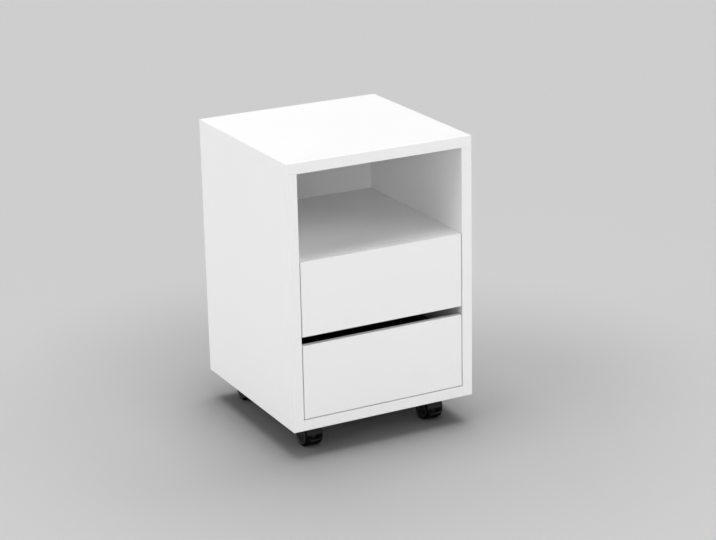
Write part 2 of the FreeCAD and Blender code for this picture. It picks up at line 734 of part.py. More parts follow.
def build_case_member(tier, side, sign):
    """The outer member of a slide: a web with curled edges that hold the balls."""
    node = f"{tier}_slide_rail_{side}"
    length = slide_length
    metal = size("slide_metal")
    web = box(f"{node}_web", (0, 0, -ball_z), (metal, length, ball_z * 2))
    turns = {
        "upper": TO_PLUS_Y.multiply(HALF_TURN_Z),
        "lower": TO_MINUS_Y.multiply(HALF_TURN_Z),
    }
    pieces = [web]
    for edge, turn in turns.items():
        start = plain(0) if edge == "upper" else length
        centre = (ball_x, start, ball_z if edge == "upper" else -ball_z)
        outside = cylinder(f"{node}_{edge}_curl", centre, turn, curl_outer, length,
                           plain(180) - size("curl_opening"))
        inside = cylinder(f"{node}_{edge}_track", centre, turn, track, length)
        pieces.append(carve(f"{node}_{edge}_edge", outside, inside))
    body = fuse(f"{node}_profile", pieces)
    head = size("slide_screw_head") + screw_play
    holes = [sunk_hole(f"{node}_hole_{i}", (metal, row, 0), TO_MINUS_X, slide_screw_hole, head, metal * 2)
             for i, row in enumerate(slide_screw_rows)]
    rail = finish(carve(f"{node}_member", body, group(f"{node}_holes", holes)), node)
    slide_place(rail, tier, sign, slide_start)


def build_drawer_member(tier, side, sign):
    """The inner member of a slide: a channel whose edges run on the balls."""
    node = f"{tier}_slide_runner_{side}"
    length = slide_length
    metal = size("slide_metal")
    mouth = ball_x - size("flange_overlap")
    deep = size("slide_depth")
    body = start_body(node)
    sketch = start_sketch(body, f"{node}_profile", "XZ_Plane")
    inside = runner_half - metal
    add_polygon(sketch, [
        (mouth, runner_half), (deep, runner_half), (deep, -runner_half), (mouth, -runner_half),
        (mouth, -inside), (deep - metal, -inside), (deep - metal, inside), (mouth, inside),
    ])
    pad = body.newObject("PartDesign::Pad", f"{node}_pad")
    pad.Profile = sketch
    pad.Reversed = True
    bind(pad, "Length", length)
    doc.recompute()
    round_edges(body, "corners", size("runner_round"),
                lambda e: lies_on(e, "X", deep) and e.Length > runner_half.number * 2 + 1)
    drill(body, "screw_ways", "YZ_Plane", deep, [(row, 0) for row in slide_screw_rows],
          slide_screw_hole, metal, False)
    sink_holes(body, "YZ_Plane", deep - metal, slide_screw_hole,
               size("slide_screw_head") - size("slide_screw_radius"))
    slide_place(body, tier, sign, slide_start)


cage_length = slide_length - size("slide_travel") - size("cage_margin") * 2


def build_cage(tier, side, sign):
    """The cage that spaces the balls of a slide, with its balls, as it lies in the closed slide."""
    node = f"{tier}_ball_cage_{side}"
    count = int(size("ball_count").number)
    pitch = cage_length / count
    left = size("slide_metal") + size("cage_wall_gap")
    over = ball_z + size("cage_finger_over")
    gap = size("ball_radius") + size("cage_finger_play")
    finger_width = ball_x + size("cage_finger_side") - left
    finger_height = size("cage_finger_over") + size("cage_finger_under")
    pieces = [box(f"{node}_web", (left, 0, -over), (size("cage_metal"), cage_length, over * 2))]
    pockets = []
    balls = []
    for edge, level, low in (("upper", ball_z, over - finger_height), ("lower", -ball_z, -over)):
        for i in range(count + 1):
            start = pitch * (i - 0.5) + gap if i > 0 else plain(0)
            end = pitch * (i + 0.5) - gap if i < count else cage_length
            pieces.append(box(f"{node}_{edge}_finger_{i}", (left, start, low),
                              (finger_width, end - start, finger_height)))
        for i in range(count):
            along = pitch * (i + 0.5)
            pockets.append(cylinder(f"{node}_{edge}_pocket_{i}", (0, along, level), TO_PLUS_X,
                                    track, ball_x * 2))
            ball = child("Part::Sphere", f"{node}_{edge}_ball_{i}")
            bind(ball, "Radius", size("ball_radius"))
            balls.append(place(ball, (ball_x, along, level)))
    strip = carve(f"{node}_strip", fuse(f"{node}_frame", pieces), group(f"{node}_pockets", pockets))
    cage = finish(group(f"{node}_set", [strip] + balls), node)
    slide_place(cage, tier, sign, slide_start + (slide_length - cage_length) / 2)


def build_slide_screws():
    """The screws of the case members, as one group, and those of each drawer's members."""
    rail_screws = []
    for tier in TIERS:
        runner_screws = []
        for side, sign in SIDES.items():
            outwards = TO_MINUS_X if sign < 0 else TO_PLUS_X
            inwards = TO_PLUS_X if sign < 0 else TO_MINUS_X
            rail_face = (inner_half - size("slide_metal")) * sign
            runner_face = (inner_half - size("slide_depth") + size("slide_metal")) * sign
            for row in slide_screw_rows:
                along = slide_start + row - half_depth
                rail_screws.append(slide_screw(f"rail_screw_{len(rail_screws)}",
                                               (rail_face, along, slide_level[tier]), outwards))
                runner_screws.append(slide_screw(f"{tier}_runner_screw_{len(runner_screws)}",
                                                 (runner_face, along, slide_level[tier]), inwards))
        finish(group(f"{tier}_runner_screw_group", runner_screws), f"{tier}_runner_screws")
    finish(group("rail_screw_group", rail_screws), "rail_screws")


def slide_screw(name, face, rotation):
    """A flush screw of a slide."""
    return sunk_screw(name, face, rotation, size("slide_screw_radius"), size("slide_screw_head"),
                      size("slide_screw_length"))


# The casters. Levels are measured from the underside of the case.

axle_level = size("wheel_radius") - size("caster_height")
plate_bottom = -size("plate_metal")
flange_bottom = plate_bottom - size("pin_flange_height")
fork_top = flange_bottom - size("bearing_play")
wheel_inner = size("web_width") / 2 + size("wheel_side_gap")


def plate_hole_offsets():
    """The four holes of a caster plate, from its middle."""
    half = size("plate_hole_spacing") / 2
    return [(half * x, half * y) for x in (-1, 1) for y in (-1, 1)]


def caster_middle(x_sign, end):
    """Where the swivel pin of a caster meets the underside of the case."""
    inset = size(f"caster_inset_{end}")
    row = inset - half_depth if end == "front" else half_depth - inset
    return (half_width - size("caster_inset_side")) * x_sign, row, case_bottom


def build_caster(end, side):
    """One caster under its plate, with its fork, axle and two wheels, which trail to the rear."""
    corner = f"{end}_{side}"
    x, y, z = caster_middle(SIDES[side], end)
    axle_centre = (x, y + size("trail"), z + axle_level)
    braked = end == "front"
    place(build_fork(corner, braked), (x, y, z))
    half_axle = wheel_inner + size("wheel_bore_depth") - size("axle_end_play")
    axle = cylinder(f"caster_{corner}_axle_rod", (x - half_axle, axle_centre[1], axle_centre[2]), TO_PLUS_X,
                    size("axle_radius"), half_axle * 2)
    if braked:
        pins = [axle, build_brake(corner, x, y)]
        finish(group(f"caster_{corner}_pin_group", pins), f"caster_{corner}_pins")
    else:
        finish(axle, f"caster_{corner}_axle")
    for side, sign in SIDES.items():
        place(build_wheel(f"caster_{corner}_wheel_{side}", sign), axle_centre)


def build_plate(corner):
    """The square plate that is screwed under the case."""
    node = f"caster_plate_{corner}"
    half = size("plate_side") / 2
    body = child("PartDesign::Body", node)
    sketch = start_sketch(body, f"{node}_outline", "XY_Plane")
    add_rectangle(sketch, (-half, -half), (half, half))
    pad = body.newObject("PartDesign::Pad", f"{node}_pad")
    pad.Profile = sketch
    pad.Reversed = True
    bind(pad, "Length", size("plate_metal"))
    doc.recompute()
    round_edges(body, "corners", size("plate_corner"),
                lambda e: e.BoundBox.ZLength > size("plate_metal").number / 2)
    clear = size("plate_screw_radius") + size("plate_hole_play")
    drill(body, "screw_holes", "XY_Plane", 0, plate_hole_offsets(), clear, size("plate_metal"), False)
    drill(body, "pin_hole", "XY_Plane", 0, [(0, 0)],
          size("pin_radius") + size("pin_play"), size("plate_metal"), False)
    return body


def build_fork(corner, braked):
    """The moulded fork: a web between the wheels, a hood over them and a socket for the pin.

    It is made with the pin on its Z axis and the wheels towards +Y. The web of a braked one has
    a notch in front for the arm of the pedal.
    """
    node = f"caster_{corner}_fork"
    web_radius = size("wheel_radius") - size("web_inset")
    hood_inner = size("wheel_radius") + size("hood_gap")
    hood_outer = hood_inner + size("hood_wall")
    half_web = size("web_width") / 2
    half_hood = size("hood_width") / 2
    trail = size("trail")

    def disc(name, half, radius, angle=360):
        """A disc about the axle, or a sector of one that starts in front and rises over the top."""
        return cylinder(f"{node}_{name}", (half, trail, axle_level), FRONT_TO_TOP, radius, half * 2, angle)

    web = disc("web", half_web, web_radius)
    neck = disc("neck", half_web, hood_inner + size("hood_wall") / 2, size("hood_reach"))
    hood = carve(f"{node}_hood", disc("hood_solid", half_hood, hood_outer, size("hood_reach")),
                 disc("hood_room", half_hood, hood_inner))
    pin_depth = size("pin_reach")
    socket = cylinder(f"{node}_socket", (0, 0, fork_top), TO_MINUS_Z, size("socket_radius"),
                      pin_depth + size("socket_radius"))
    solid = fuse(f"{node}_solid", [web, neck, hood, socket])
    floor_cut = box(f"{node}_floor_cut", (-half_web, trail - web_radius, -size("caster_height")),
                    (half_web * 2, web_radius * 2, size("web_floor_clearance")))
    pin_way = cylinder(f"{node}_pin_way", (0, 0, fork_top), TO_MINUS_Z,
                       size("pin_radius") + size("pin_play"), pin_depth)
    axle_way = disc("axle_way", half_web, size("axle_radius") + screw_play)
    lip_cut = box(f"{node}_lip_cut", (-half_hood, trail - hood_outer, axle_level),
                  (half_hood * 2, hood_outer - web_radius, size("hood_lip")))
    ways = [floor_cut, pin_way, axle_way, lip_cut]
    if braked:
        floor = -size("caster_height")
        notch_half = size("pedal_arm_width") / 2 + size("notch_side")
        notch_top = floor + size("brake_pin_level") + size("pedal_boss_radius") + size("notch_above")
        notch_end = size("pedal_arm_rear") + size("notch_rear")
        ways.append(box(f"{node}_notch", (-notch_half, -size("pedal_outer"), floor),
                        (notch_half * 2, size("pedal_outer") + notch_end, notch_top - floor)))
        ways.append(cylinder(f"{node}_brake_way", (-half_web, -size("brake_pin_y"),
                                                   floor + size("brake_pin_level")),
                             TO_PLUS_X, size("brake_pin_radius") + screw_play, half_web * 2))
    rough = carve(f"{node}_rough", solid, group(f"{node}_ways", ways))
    doc.recompute()
    rim = [i for i, e in enumerate(rough.Shape.Edges, start=1) if hood_rim(e, half_hood, hood_outer)]
    smooth = child("Part::Fillet", f"{node}_smooth")
    smooth.Base = rough
    smooth.Edges = [(i, size("hood_round").number, size("hood_round").number) for i in rim]
    return finish(smooth, node)


def hood_rim(edge, half_hood, hood_outer):
    """Whether an edge is one of the two long outer edges of the hood."""
    on_side = lies_on(edge, "X", half_hood) or lies_on(edge, "X", -half_hood)
    return on_side and hasattr(edge.Curve, "Radius") and abs(edge.Curve.Radius - hood_outer.number) < SAME


def build_brake(corner, x, y):
    """The half-moon brake pedal of a front caster, and the pin in the fork that its arm turns on.

    The pedal is entered as a sub-part. The pin is handed back.
    """
    node = f"caster_{corner}_brake"
    half_web = size("web_width") / 2
    pin_row = y - size("brake_pin_y")
    pin_level = size("brake_pin_level")
    boss_radius = size("pedal_boss_radius")
    front = y - size("pedal_outer")
    back = y - size("pedal_rear")
    bow = size("pedal_bow")
    low = size("pedal_level")
    metal = size("pedal_metal")
    arm = size("pedal_arm_width")
    rear = y + size("pedal_arm_rear")
    disc = cylinder(f"{node}_disc", (x, front + bow, low), UPRIGHT, bow, metal)
    rest = box(f"{node}_rest", (x - bow, back, low), (bow * 2, bow * 2, metal))
    half_moon = carve(f"{node}_half_moon", disc, rest)
    foot = box(f"{node}_foot", (x - arm / 2, front + metal, low), (arm, rear - front - metal, metal))
    stem = box(f"{node}_stem", (x - arm / 2, pin_row - boss_radius, low),
               (arm, rear - pin_row + boss_radius, pin_level - low))
    boss = cylinder(f"{node}_boss", (x - arm / 2, pin_row, pin_level), TO_PLUS_X, boss_radius, arm)
    way = cylinder(f"{node}_way", (x - arm / 2, pin_row, pin_level), TO_PLUS_X,
                   size("brake_pin_radius") + size("brake_pin_play"), arm)
    solid = fuse(f"{node}_solid", [half_moon, foot, stem, boss])
    finish(carve(f"{node}_lever", solid, way), f"{node}_pedal")
    return cylinder(f"{node}_pin_rod", (x - half_web, pin_row, pin_level), TO_PLUS_X,
                    size("brake_pin_radius"), half_web * 2)


def build_wheel(node, sign):
    """One wheel, turned about the axle: a hollow inner side and a dished outer face."""
    outer = wheel_inner + size("wheel_width")
    hollow_end = outer - size("wheel_face")
    bore = size("axle_radius") + size("axle_play")
    bore_end = wheel_inner + size("wheel_bore_depth")
    hub = size("wheel_hub_radius")
    tread = size("wheel_radius")
    rim_inside = tread - size("wheel_rim")
    dish = size("dish_radius")
    cap = size("cap_radius")
    slope = size("dish_depth")
    corners = [
        (wheel_inner, bore), (wheel_inner, hub), (hollow_end, hub), (hollow_end, rim_inside),
        (wheel_inner, rim_inside), (wheel_inner, tread), (outer, tread), (outer, dish),
        (outer - slope, dish - slope), (outer - slope, cap + slope), (outer, cap),
        (outer, 0), (bore_end, 0), (bore_end, bore),
    ]
    body = start_body(node)
    sketch = start_sketch(body, f"{node}_profile", "XY_Plane")
    add_polygon(sketch, [(plain(x) * sign, y) for x, y in corners])
    turned = body.newObject("PartDesign::Revolution", f"{node}_turned")
    turned.Profile = sketch
    turned.ReferenceAxis = (sketch, ["H_Axis"])
    turned.Angle = 360
    doc.recompute()

    def tread_rim(edge, face):
        """Whether an edge is the tread's circle on that face."""
        return lies_on(edge, "X", face * sign) and edge.BoundBox.YLength > tread.number * 2 - 1

    round_edges(body, "shoulder", size("wheel_shoulder"), lambda e: tread_rim(e, outer))
    round_edges(body, "inner_edge", size("wheel_inner_round"), lambda e: tread_rim(e, wheel_inner))
    return body


def build_plates_pins_and_screws():
    """The plates, swivel pins and screws of the four casters, each kind as one group."""
    plates = []
    pins = []
    screws = []
    for side, sign in SIDES.items():
        for end in ENDS:
            x, y, z = caster_middle(sign, end)
            plates.append(place(build_plate(f"{end}_{side}"), (x, y, z)))
            name = f"pin_{len(pins)}"
            reach = size("plate_metal") + size("pin_flange_height") + size("pin_reach")
            rod = cylinder(f"{name}_rod", (x, y, z), TO_MINUS_Z, size("pin_radius"), reach)
            flange = cylinder(f"{name}_flange", (x, y, z + plate_bottom), TO_MINUS_Z,
                              size("pin_flange_radius"), size("pin_flange_height"))
            pins.append(fuse(name, [rod, flange]))
            for across, along in plate_hole_offsets():
                seat = (x + across, y + along, z + plate_bottom)
                screws.append(pan_screw(f"caster_screw_{len(screws)}", seat, UPRIGHT,
                                        size("plate_screw_radius"), size("plate_screw_head"),
                                        size("plate_screw_head_height"), size("plate_screw_shank")))
    finish(group("plate_group", plates), "caster_plates")
    finish(group("pin_group", pins), "caster_pins")
    finish(group("caster_screw_group", screws), "caster_screws")


def check_and_export():
    """Stop at any failed object or empty or invalid sub-part, then write each sub-part."""
    doc.recompute()
    for thing in doc.Objects:
        if "Invalid" in thing.State or "Error" in thing.State:
            raise ValueError(f"{thing.Name} failed: {thing.State}")
    for node, thing in finished.items():
        if thing.Shape.isNull() or not thing.Shape.isValid():
            raise ValueError(f"{node} has no valid shape")
    os.makedirs("parts", exist_ok=True)
    for node, thing in finished.items():
        thing.Shape.exportStep(os.path.join("parts", f"{node}.step"))


build_case()
build_dowels()
for tier_name in TIERS:
    build_drawer(tier_name)
    for side_name, side_sign in SIDES.items():
        build_case_member(tier_name, side_name, side_sign)
        build_drawer_member(tier_name, side_name, side_sign)
        build_cage(tier_name, side_name, side_sign)
build_slide_screws()
for end_name in ENDS:
    for side_name in SIDES:
        build_caster(end_name, side_name)
build_plates_pins_and_screws()
check_and_export()
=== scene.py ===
"""Finishes and fittings of a rolling drawer cabinet.

A white board case with an open niche and two inset drawers, on four black twin-wheel casters.
Everything is in metres, in the frame of the cabinet: X to the right as the fronts are faced,
the fronts face -Y, Z is up, and the floor is at Z 0.
"""
import json
import math

import bmesh
import bpy
from mathutils import Matrix, Vector


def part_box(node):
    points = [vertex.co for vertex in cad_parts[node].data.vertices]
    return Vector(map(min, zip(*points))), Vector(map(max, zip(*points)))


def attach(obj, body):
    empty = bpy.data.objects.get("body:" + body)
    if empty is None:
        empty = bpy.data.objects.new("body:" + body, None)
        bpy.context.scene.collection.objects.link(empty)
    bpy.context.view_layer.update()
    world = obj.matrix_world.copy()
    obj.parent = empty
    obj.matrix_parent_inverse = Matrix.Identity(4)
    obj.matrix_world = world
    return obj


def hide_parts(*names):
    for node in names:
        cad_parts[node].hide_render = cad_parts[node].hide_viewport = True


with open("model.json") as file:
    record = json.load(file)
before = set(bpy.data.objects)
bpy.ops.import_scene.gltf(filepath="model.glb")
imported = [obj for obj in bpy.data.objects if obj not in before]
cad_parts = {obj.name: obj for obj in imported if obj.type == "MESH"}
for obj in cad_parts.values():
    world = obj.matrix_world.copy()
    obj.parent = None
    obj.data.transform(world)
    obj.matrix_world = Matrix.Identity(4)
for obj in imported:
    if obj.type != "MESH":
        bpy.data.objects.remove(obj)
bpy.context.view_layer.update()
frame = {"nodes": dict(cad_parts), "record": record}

bl_info = {
    "name": "Rolling Drawer Cabinet",
    "version": (1, 0, 0),
    "blender": (4, 5, 0),
    "location": "3D View > Sidebar > Cabinet",
    "description": "Finishes a drawer cabinet on casters and sets a plain studio round it",
    "category": "Object",
}

MM = 0.001
TIERS = ("upper", "lower")
SIDES = ("left", "right")
CORNERS = ("front_left", "front_right", "rear_left", "rear_right")
CASE_BOARDS = ("top_panel", "side_panel_left", "side_panel_right", "bottom_panel", "shelf_panel",
               "back_panel")

# How close two corners lie that are one, in a CAD node and in a shape that is made here
CAD_WELD = 0.001 * MM
WELD = 0.0005 * MM

# Rounded copies: the bend in degrees up to which faces are one face, and the bends from which an edge
# is rounded and from which it is shaded sharp
FLAT_BEND = 0.5
ROUNDED_BEND = 40
SHARP_BEND = 32

# Faces shaded flat: the least area, and the least share of the normal along one axis
FLAT_AREA = 60 * MM * MM
SQUARE_ON = 0.9999

# Rounding of the edges of the metal pieces
PLATE_EDGE = 0.3 * MM
PIN_EDGE = 0.4 * MM
AXLE_EDGE = 0.2 * MM
MEMBER_EDGE = 0.12 * MM
CAGE_EDGE = 0.1 * MM

# Where the slots of a slide member are, as shares of its length
SLOT_ROWS = (0.19, 0.26, 0.33, 0.67, 0.74, 0.81)

# Screws as they are read: the depth of the slice at each end, and the rim of a head as a share of it
END_SLICE = 0.02 * MM
RIM_SHARE = 0.98

# Screws as they are turned: the shank under the thread as a share of the shank, the height in
# millimetres up to which a head is a countersunk one, and the plain necks of both kinds
THREAD_ROOT = 0.74
SUNK_HEIGHT = 0.1
RAISED_NECK = 1.2
SUNK_NECK = 0.6

# The cross recess of a screw: the width of a wing, and the width and depth of the square between
# the wings, as shares of the width and depth of the recess
WING_WIDTH = 0.27
CORE_WIDTH = 0.5
CORE_DEPTH = 0.6

# The chamfer of a dowel, in millimetres
DOWEL_CHAMFER = 0.9

# The inside of a wheel, in millimetres
HUB_RADIUS = 6.5
BORE_RADIUS = 3.05
BORE_DEPTH = 9.5
RIM_WALL = 4.5
FACE_WALL = 4.0
INNER_FILLET = 0.8
INNER_CHAMFER = 0.3
RIB_WIDTH = 1.2
RIB_SETBACK = 1.5
RIB_LAP = 0.2

# The floor: how far it reaches, and how far out its painted shade round the cabinet has faded to its paler
# colour, in metres
FLOOR_REACH = 40.0
FLOOR_SHADE_FADE = 1.0

# The camera: its sensor in millimetres, and the end of its view in metres
SENSOR_WIDTH = 36.0
VIEW_END = 200.0

# The spacing of the nodes in a tree's editor
NODE_WIDTH = 180
NODE_HEIGHT = 260
NODES_IN_ROW = 12


# Sizes and colours that a user would change

class BoardFinish(bpy.types.PropertyGroup):
    """The faced boards of the case, the fronts and the drawer boxes."""

    case_colour: bpy.props.FloatVectorProperty(
        name="Case", description="Colour of the case and the drawer fronts", subtype="COLOR",
        size=3, min=0, max=1, default=(0.86, 0.86, 0.86))
    # Near black: the boxes' own dark facing, also taken this dark as painted shade for the finger gap
    # between the fronts
    box_and_gap_shade_colour: bpy.props.FloatVectorProperty(
        name="Drawer box", description="Colour of the boards of the drawer boxes", subtype="COLOR",
        size=3, min=0, max=1, default=(0.04, 0.04, 0.043))
    dowel_colour: bpy.props.FloatVectorProperty(
        name="Dowel", description="Colour of the beech dowels", subtype="COLOR",
        size=3, min=0, max=1, default=(0.62, 0.43, 0.25))
    roughness: bpy.props.FloatProperty(
        name="Roughness", description="Roughness of the white facing", subtype="FACTOR",
        min=0, max=1, default=0.46)
    box_roughness: bpy.props.FloatProperty(
        name="Box roughness", description="Roughness of the dark facing of the boxes", subtype="FACTOR",
        min=0, max=1, default=0.5)
    pearl_pitch: bpy.props.FloatProperty(
        name="Pearl pitch", description="Distance between the dimples of the facing", subtype="DISTANCE",
        unit="LENGTH", default=0.9 * MM, precision=5)
    pearl_depth: bpy.props.FloatProperty(
        name="Pearl depth", description="Depth of the dimples of the facing", subtype="DISTANCE",
        unit="LENGTH", default=0.012 * MM, precision=6)
    band: bpy.props.FloatProperty(
        name="Edge band", description="Thickness of the band glued on the edges", subtype="DISTANCE",
        unit="LENGTH", default=0.8 * MM, precision=5)
    edge: bpy.props.FloatProperty(
        name="Edge", description="Rounding of the banded edges of a board", subtype="DISTANCE",
        unit="LENGTH", default=0.4 * MM, precision=5)


class MetalFinish(bpy.types.PropertyGroup):
    """The zinc plated steel of the slides, plates and screws."""

    sheet_colour: bpy.props.FloatVectorProperty(
        name="Sheet", description="Colour of the slides and caster plates", subtype="COLOR",
        size=3, min=0, max=1, default=(0.60, 0.62, 0.64))
    sheet_roughness: bpy.props.FloatProperty(
        name="Sheet roughness", description="Roughness of the slides and caster plates", subtype="FACTOR",
        min=0, max=1, default=0.34)
    screw_colour: bpy.props.FloatVectorProperty(
        name="Screw", description="Colour of the screws, pins and axles", subtype="COLOR",
        size=3, min=0, max=1, default=(0.56, 0.57, 0.58))
    ball_colour: bpy.props.FloatVectorProperty(
        name="Ball", description="Colour of the balls and their cages", subtype="COLOR",
        size=3, min=0, max=1, default=(0.70, 0.70, 0.71))
    thread_pitch: bpy.props.FloatProperty(
        name="Thread pitch", description="Pitch of a thread, as a share of its diameter", subtype="FACTOR",
        min=0.2, max=1, default=0.42)
    slot_length: bpy.props.FloatProperty(
        name="Slot length", description="Length of the slots in the slides", subtype="DISTANCE",
        unit="LENGTH", default=13 * MM, precision=4)
    slot_width: bpy.props.FloatProperty(
        name="Slot width", description="Width of the slots in the slides", subtype="DISTANCE",
        unit="LENGTH", default=4.6 * MM, precision=4)


class CasterFinish(bpy.types.PropertyGroup):
    """The black moulded casters."""

    fork_colour: bpy.props.FloatVectorProperty(
        name="Fork", description="Colour of the hooded forks", subtype="COLOR",
        size=3, min=0, max=1, default=(0.012, 0.012, 0.0125))
    fork_roughness: bpy.props.FloatProperty(
        name="Fork roughness", description="Roughness of the hooded forks", subtype="FACTOR",
        min=0, max=1, default=0.36)
    wheel_colour: bpy.props.FloatVectorProperty(
        name="Wheel", description="Colour of the wheels", subtype="COLOR",
        size=3, min=0, max=1, default=(0.012, 0.012, 0.013))
    wheel_roughness: bpy.props.FloatProperty(
        name="Wheel roughness", description="Roughness of the wheels", subtype="FACTOR",
        min=0, max=1, default=0.24)
    # Darker than the wheels: partly the soft tread's own black, partly painted shade that keeps the slot
    # under the hood dark
    tread_and_slot_shade_colour: bpy.props.FloatVectorProperty(
        name="Tread", description="Colour of the soft treads", subtype="COLOR",
        size=3, min=0, max=1, default=(0.005, 0.005, 0.0052))
    fork_edge: bpy.props.FloatProperty(
        name="Fork edge", description="Rounding of the edges of the forks and pedals", subtype="DISTANCE",
        unit="LENGTH", default=0.45 * MM, precision=5)
    wheel_shoulder: bpy.props.FloatProperty(
        name="Shoulder", description="Rounding of the outer edge of a tread", subtype="DISTANCE",
        unit="LENGTH", default=4 * MM, precision=4)
    dish: bpy.props.FloatProperty(
        name="Dish", description="Radius of the dish in the face of a wheel", subtype="DISTANCE",
        unit="LENGTH", default=19 * MM, precision=4)
    cap: bpy.props.FloatProperty(
        name="Cap", description="Radius of the cap in the middle of a wheel", subtype="DISTANCE",
        unit="LENGTH", default=8.5 * MM, precision=4)
    ribs: bpy.props.IntProperty(
        name="Ribs", description="Ribs inside a wheel, from its hub to its rim", min=3, max=24, default=9)


class Studio(bpy.types.PropertyGroup):
    """The floor, the lights and the camera."""

    # The floor's colour near the cabinet is darker than its far colour: painted shade that stands in for
    # the light falling off round the cabinet
    near_floor_shade_colour: bpy.props.FloatVectorProperty(
        name="Floor", description="Colour of the floor under the cabinet", subtype="COLOR",
        size=3, min=0, max=1, default=(0.43, 0.43, 0.43))
    far_floor_colour: bpy.props.FloatVectorProperty(
        name="Far floor", description="Colour of the floor away from the cabinet", subtype="COLOR",
        size=3, min=0, max=1, default=(0.70, 0.70, 0.70))
    sky: bpy.props.FloatProperty(
        name="Sky", description="Brightness of the background and of what polished metal mirrors", min=0,
        default=0.5)
    overhead: bpy.props.FloatProperty(
        name="Overhead", description="Strength of the soft light above", min=0, default=1.63)
    front: bpy.props.FloatProperty(
        name="Front", description="Strength of the soft light in front", min=0, default=0.46)
    left: bpy.props.FloatProperty(
        name="Left", description="Strength of the soft light on the left", min=0, default=0.44)
    behind: bpy.props.FloatProperty(
        name="Behind", description="Strength of the soft light high up behind on the right", min=0,
        default=0.545)
    camera_fill: bpy.props.FloatProperty(
        name="Camera fill", description="Strength of the low board light beside the camera", min=0,
        default=0.82)
    left_fill: bpy.props.FloatProperty(
        name="Left fill", description="Strength of the low board light on the left", min=0, default=1.41)
    side_fill: bpy.props.FloatProperty(
        name="Side fill", description="Strength of the high board light on the left", min=0, default=0.27)
    right_fill: bpy.props.FloatProperty(
        name="Right fill", description="Strength of the low board light in front on the right", min=0,
        default=1.7)
    back_fill: bpy.props.FloatProperty(
        name="Back fill", description="Strength of the low board light behind", min=0, default=1.0)
    spread: bpy.props.FloatProperty(
        name="Spread", description="How wide each light looks from the cabinet", subtype="ANGLE",
        unit="ROTATION", default=math.radians(40))
    focal_length: bpy.props.FloatProperty(
        name="Focal length", description="Focal length on a sensor 36 mm wide, in millimetres",
        default=106.29)
    azimuth: bpy.props.FloatProperty(
        name="Azimuth", description="Direction of view, turned from +Y towards +X", subtype="ANGLE",
        unit="ROTATION", default=math.radians(27.333))
    elevation: bpy.props.FloatProperty(
        name="Elevation", description="How far the view points down", subtype="ANGLE",
        unit="ROTATION", default=math.radians(18.487))
    roll: bpy.props.FloatProperty(
        name="Roll", description="Tilt of the camera about its line of view", subtype="ANGLE",
        unit="ROTATION", default=math.radians(1.211))
    place: bpy.props.FloatVectorProperty(
        name="Camera place", description="Where the camera stands", subtype="TRANSLATION",
        unit="LENGTH", size=3, default=(-1.8222, -3.6218, 1.6563))


# Node trees

class Tree:
    """A node tree that is filled one node at a time."""

    def __init__(self, nodes, links):
        self.nodes = nodes
        self.links = links
        self.count = 0

    def add(self, kind, inputs=None, **settings):
        """A new node with its settings, and its inputs joined to sockets or set to values."""
        node = self.nodes.new(kind)
        row, column = divmod(self.count, NODES_IN_ROW)
        node.location = (NODE_WIDTH * column, -NODE_HEIGHT * row)
        self.count += 1
        for key, value in settings.items():
            setattr(node, key, value)
        for key, value in (inputs or {}).items():
            self.feed(node.inputs[key], value)
        return node

    def feed(self, socket, value):
        """Join a socket to another, or set it to a value."""
        if isinstance(value, bpy.types.NodeSocket):
            self.links.new(value, socket)
        else:
            socket.default_value = value

    def math(self, operation, *values):
        """The result of a sum on one to three values."""
        node = self.add("ShaderNodeMath", operation=operation)
        for socket, value in zip(node.inputs, values):
            self.feed(socket, value)
        return node.outputs[0]

    def ramp(self, value, low, high, start=0.0, end=1.0):
        """A value brought smoothly from one range to another."""
        node = self.add("ShaderNodeMapRange", {"Value": value, "From Min": low, "From Max": high,
                                               "To Min": start, "To Max": end},
                        interpolation_type="SMOOTHSTEP")
        return node.outputs["Result"]


class Finish(Tree):
    """A material that ends in one Principled surface, with patterns on object coordinates."""

    def __init__(self, name, **constants):
        self.material = bpy.data.materials.new(name)
        self.material.use_nodes = True
        super().__init__(self.material.node_tree.nodes, self.material.node_tree.links)
        self.surface = self.nodes["Principled BSDF"]
        for key, value in constants.items():
            self.surface.inputs[key.replace("_", " ")].default_value = value
        self.place = self.add("ShaderNodeTexCoord").outputs["Object"]

    def stretched(self, scale):
        """Object coordinates scaled so that a pattern draws out to grain or rolling marks."""
        return self.add("ShaderNodeMapping", {"Vector": self.place, "Scale": scale}).outputs["Vector"]

    def noise(self, pitch, detail=2.0, roughness=0.5, place=None):
        """Even cloudy noise whose clouds are about a pitch apart."""
        node = self.add("ShaderNodeTexNoise", {"Vector": place or self.place, "Scale": 1 / pitch,
                                               "Detail": detail, "Roughness": roughness})
        return node.outputs["Fac"]

    def tint(self, amount, low, high):
        """The socket of a colour between two."""
        node = self.add("ShaderNodeMix", {"Factor": amount}, data_type="RGBA")
        node.inputs["A"].default_value = (*low, 1)
        node.inputs["B"].default_value = (*high, 1)
        return node.outputs["Result"]

    def blend(self, colour, amount, target):
        """A colour mixed towards a plain one by an amount."""
        node = self.add("ShaderNodeMix", {"Factor": amount, "A": colour}, data_type="RGBA")
        node.inputs["B"].default_value = (*target, 1)
        return node.outputs["Result"]

    def emboss(self, *layers):
        """Bump layers, each a height socket and its depth in metres."""
        normal = None
        for height, depth in layers:
            inputs = {"Height": height, "Distance": depth, "Strength": 1.0}
            if normal is not None:
                inputs["Normal"] = normal
            normal = self.add("ShaderNodeBump", inputs).outputs["Normal"]
        self.feed(self.surface.inputs["Normal"], normal)

    def colour(self, socket):
        """Give the surface its colour."""
        self.feed(self.surface.inputs["Base Color"], socket)

    def roughness(self, socket):
        """Give the surface its roughness."""
        self.feed(self.surface.inputs["Roughness"], socket)


LENGTH = "NodeSocketFloat"
COUNT = "NodeSocketInt"
PLACE = "NodeSocketVector"
PIECE = "NodeSocketObject"
FACING = "NodeSocketMaterial"


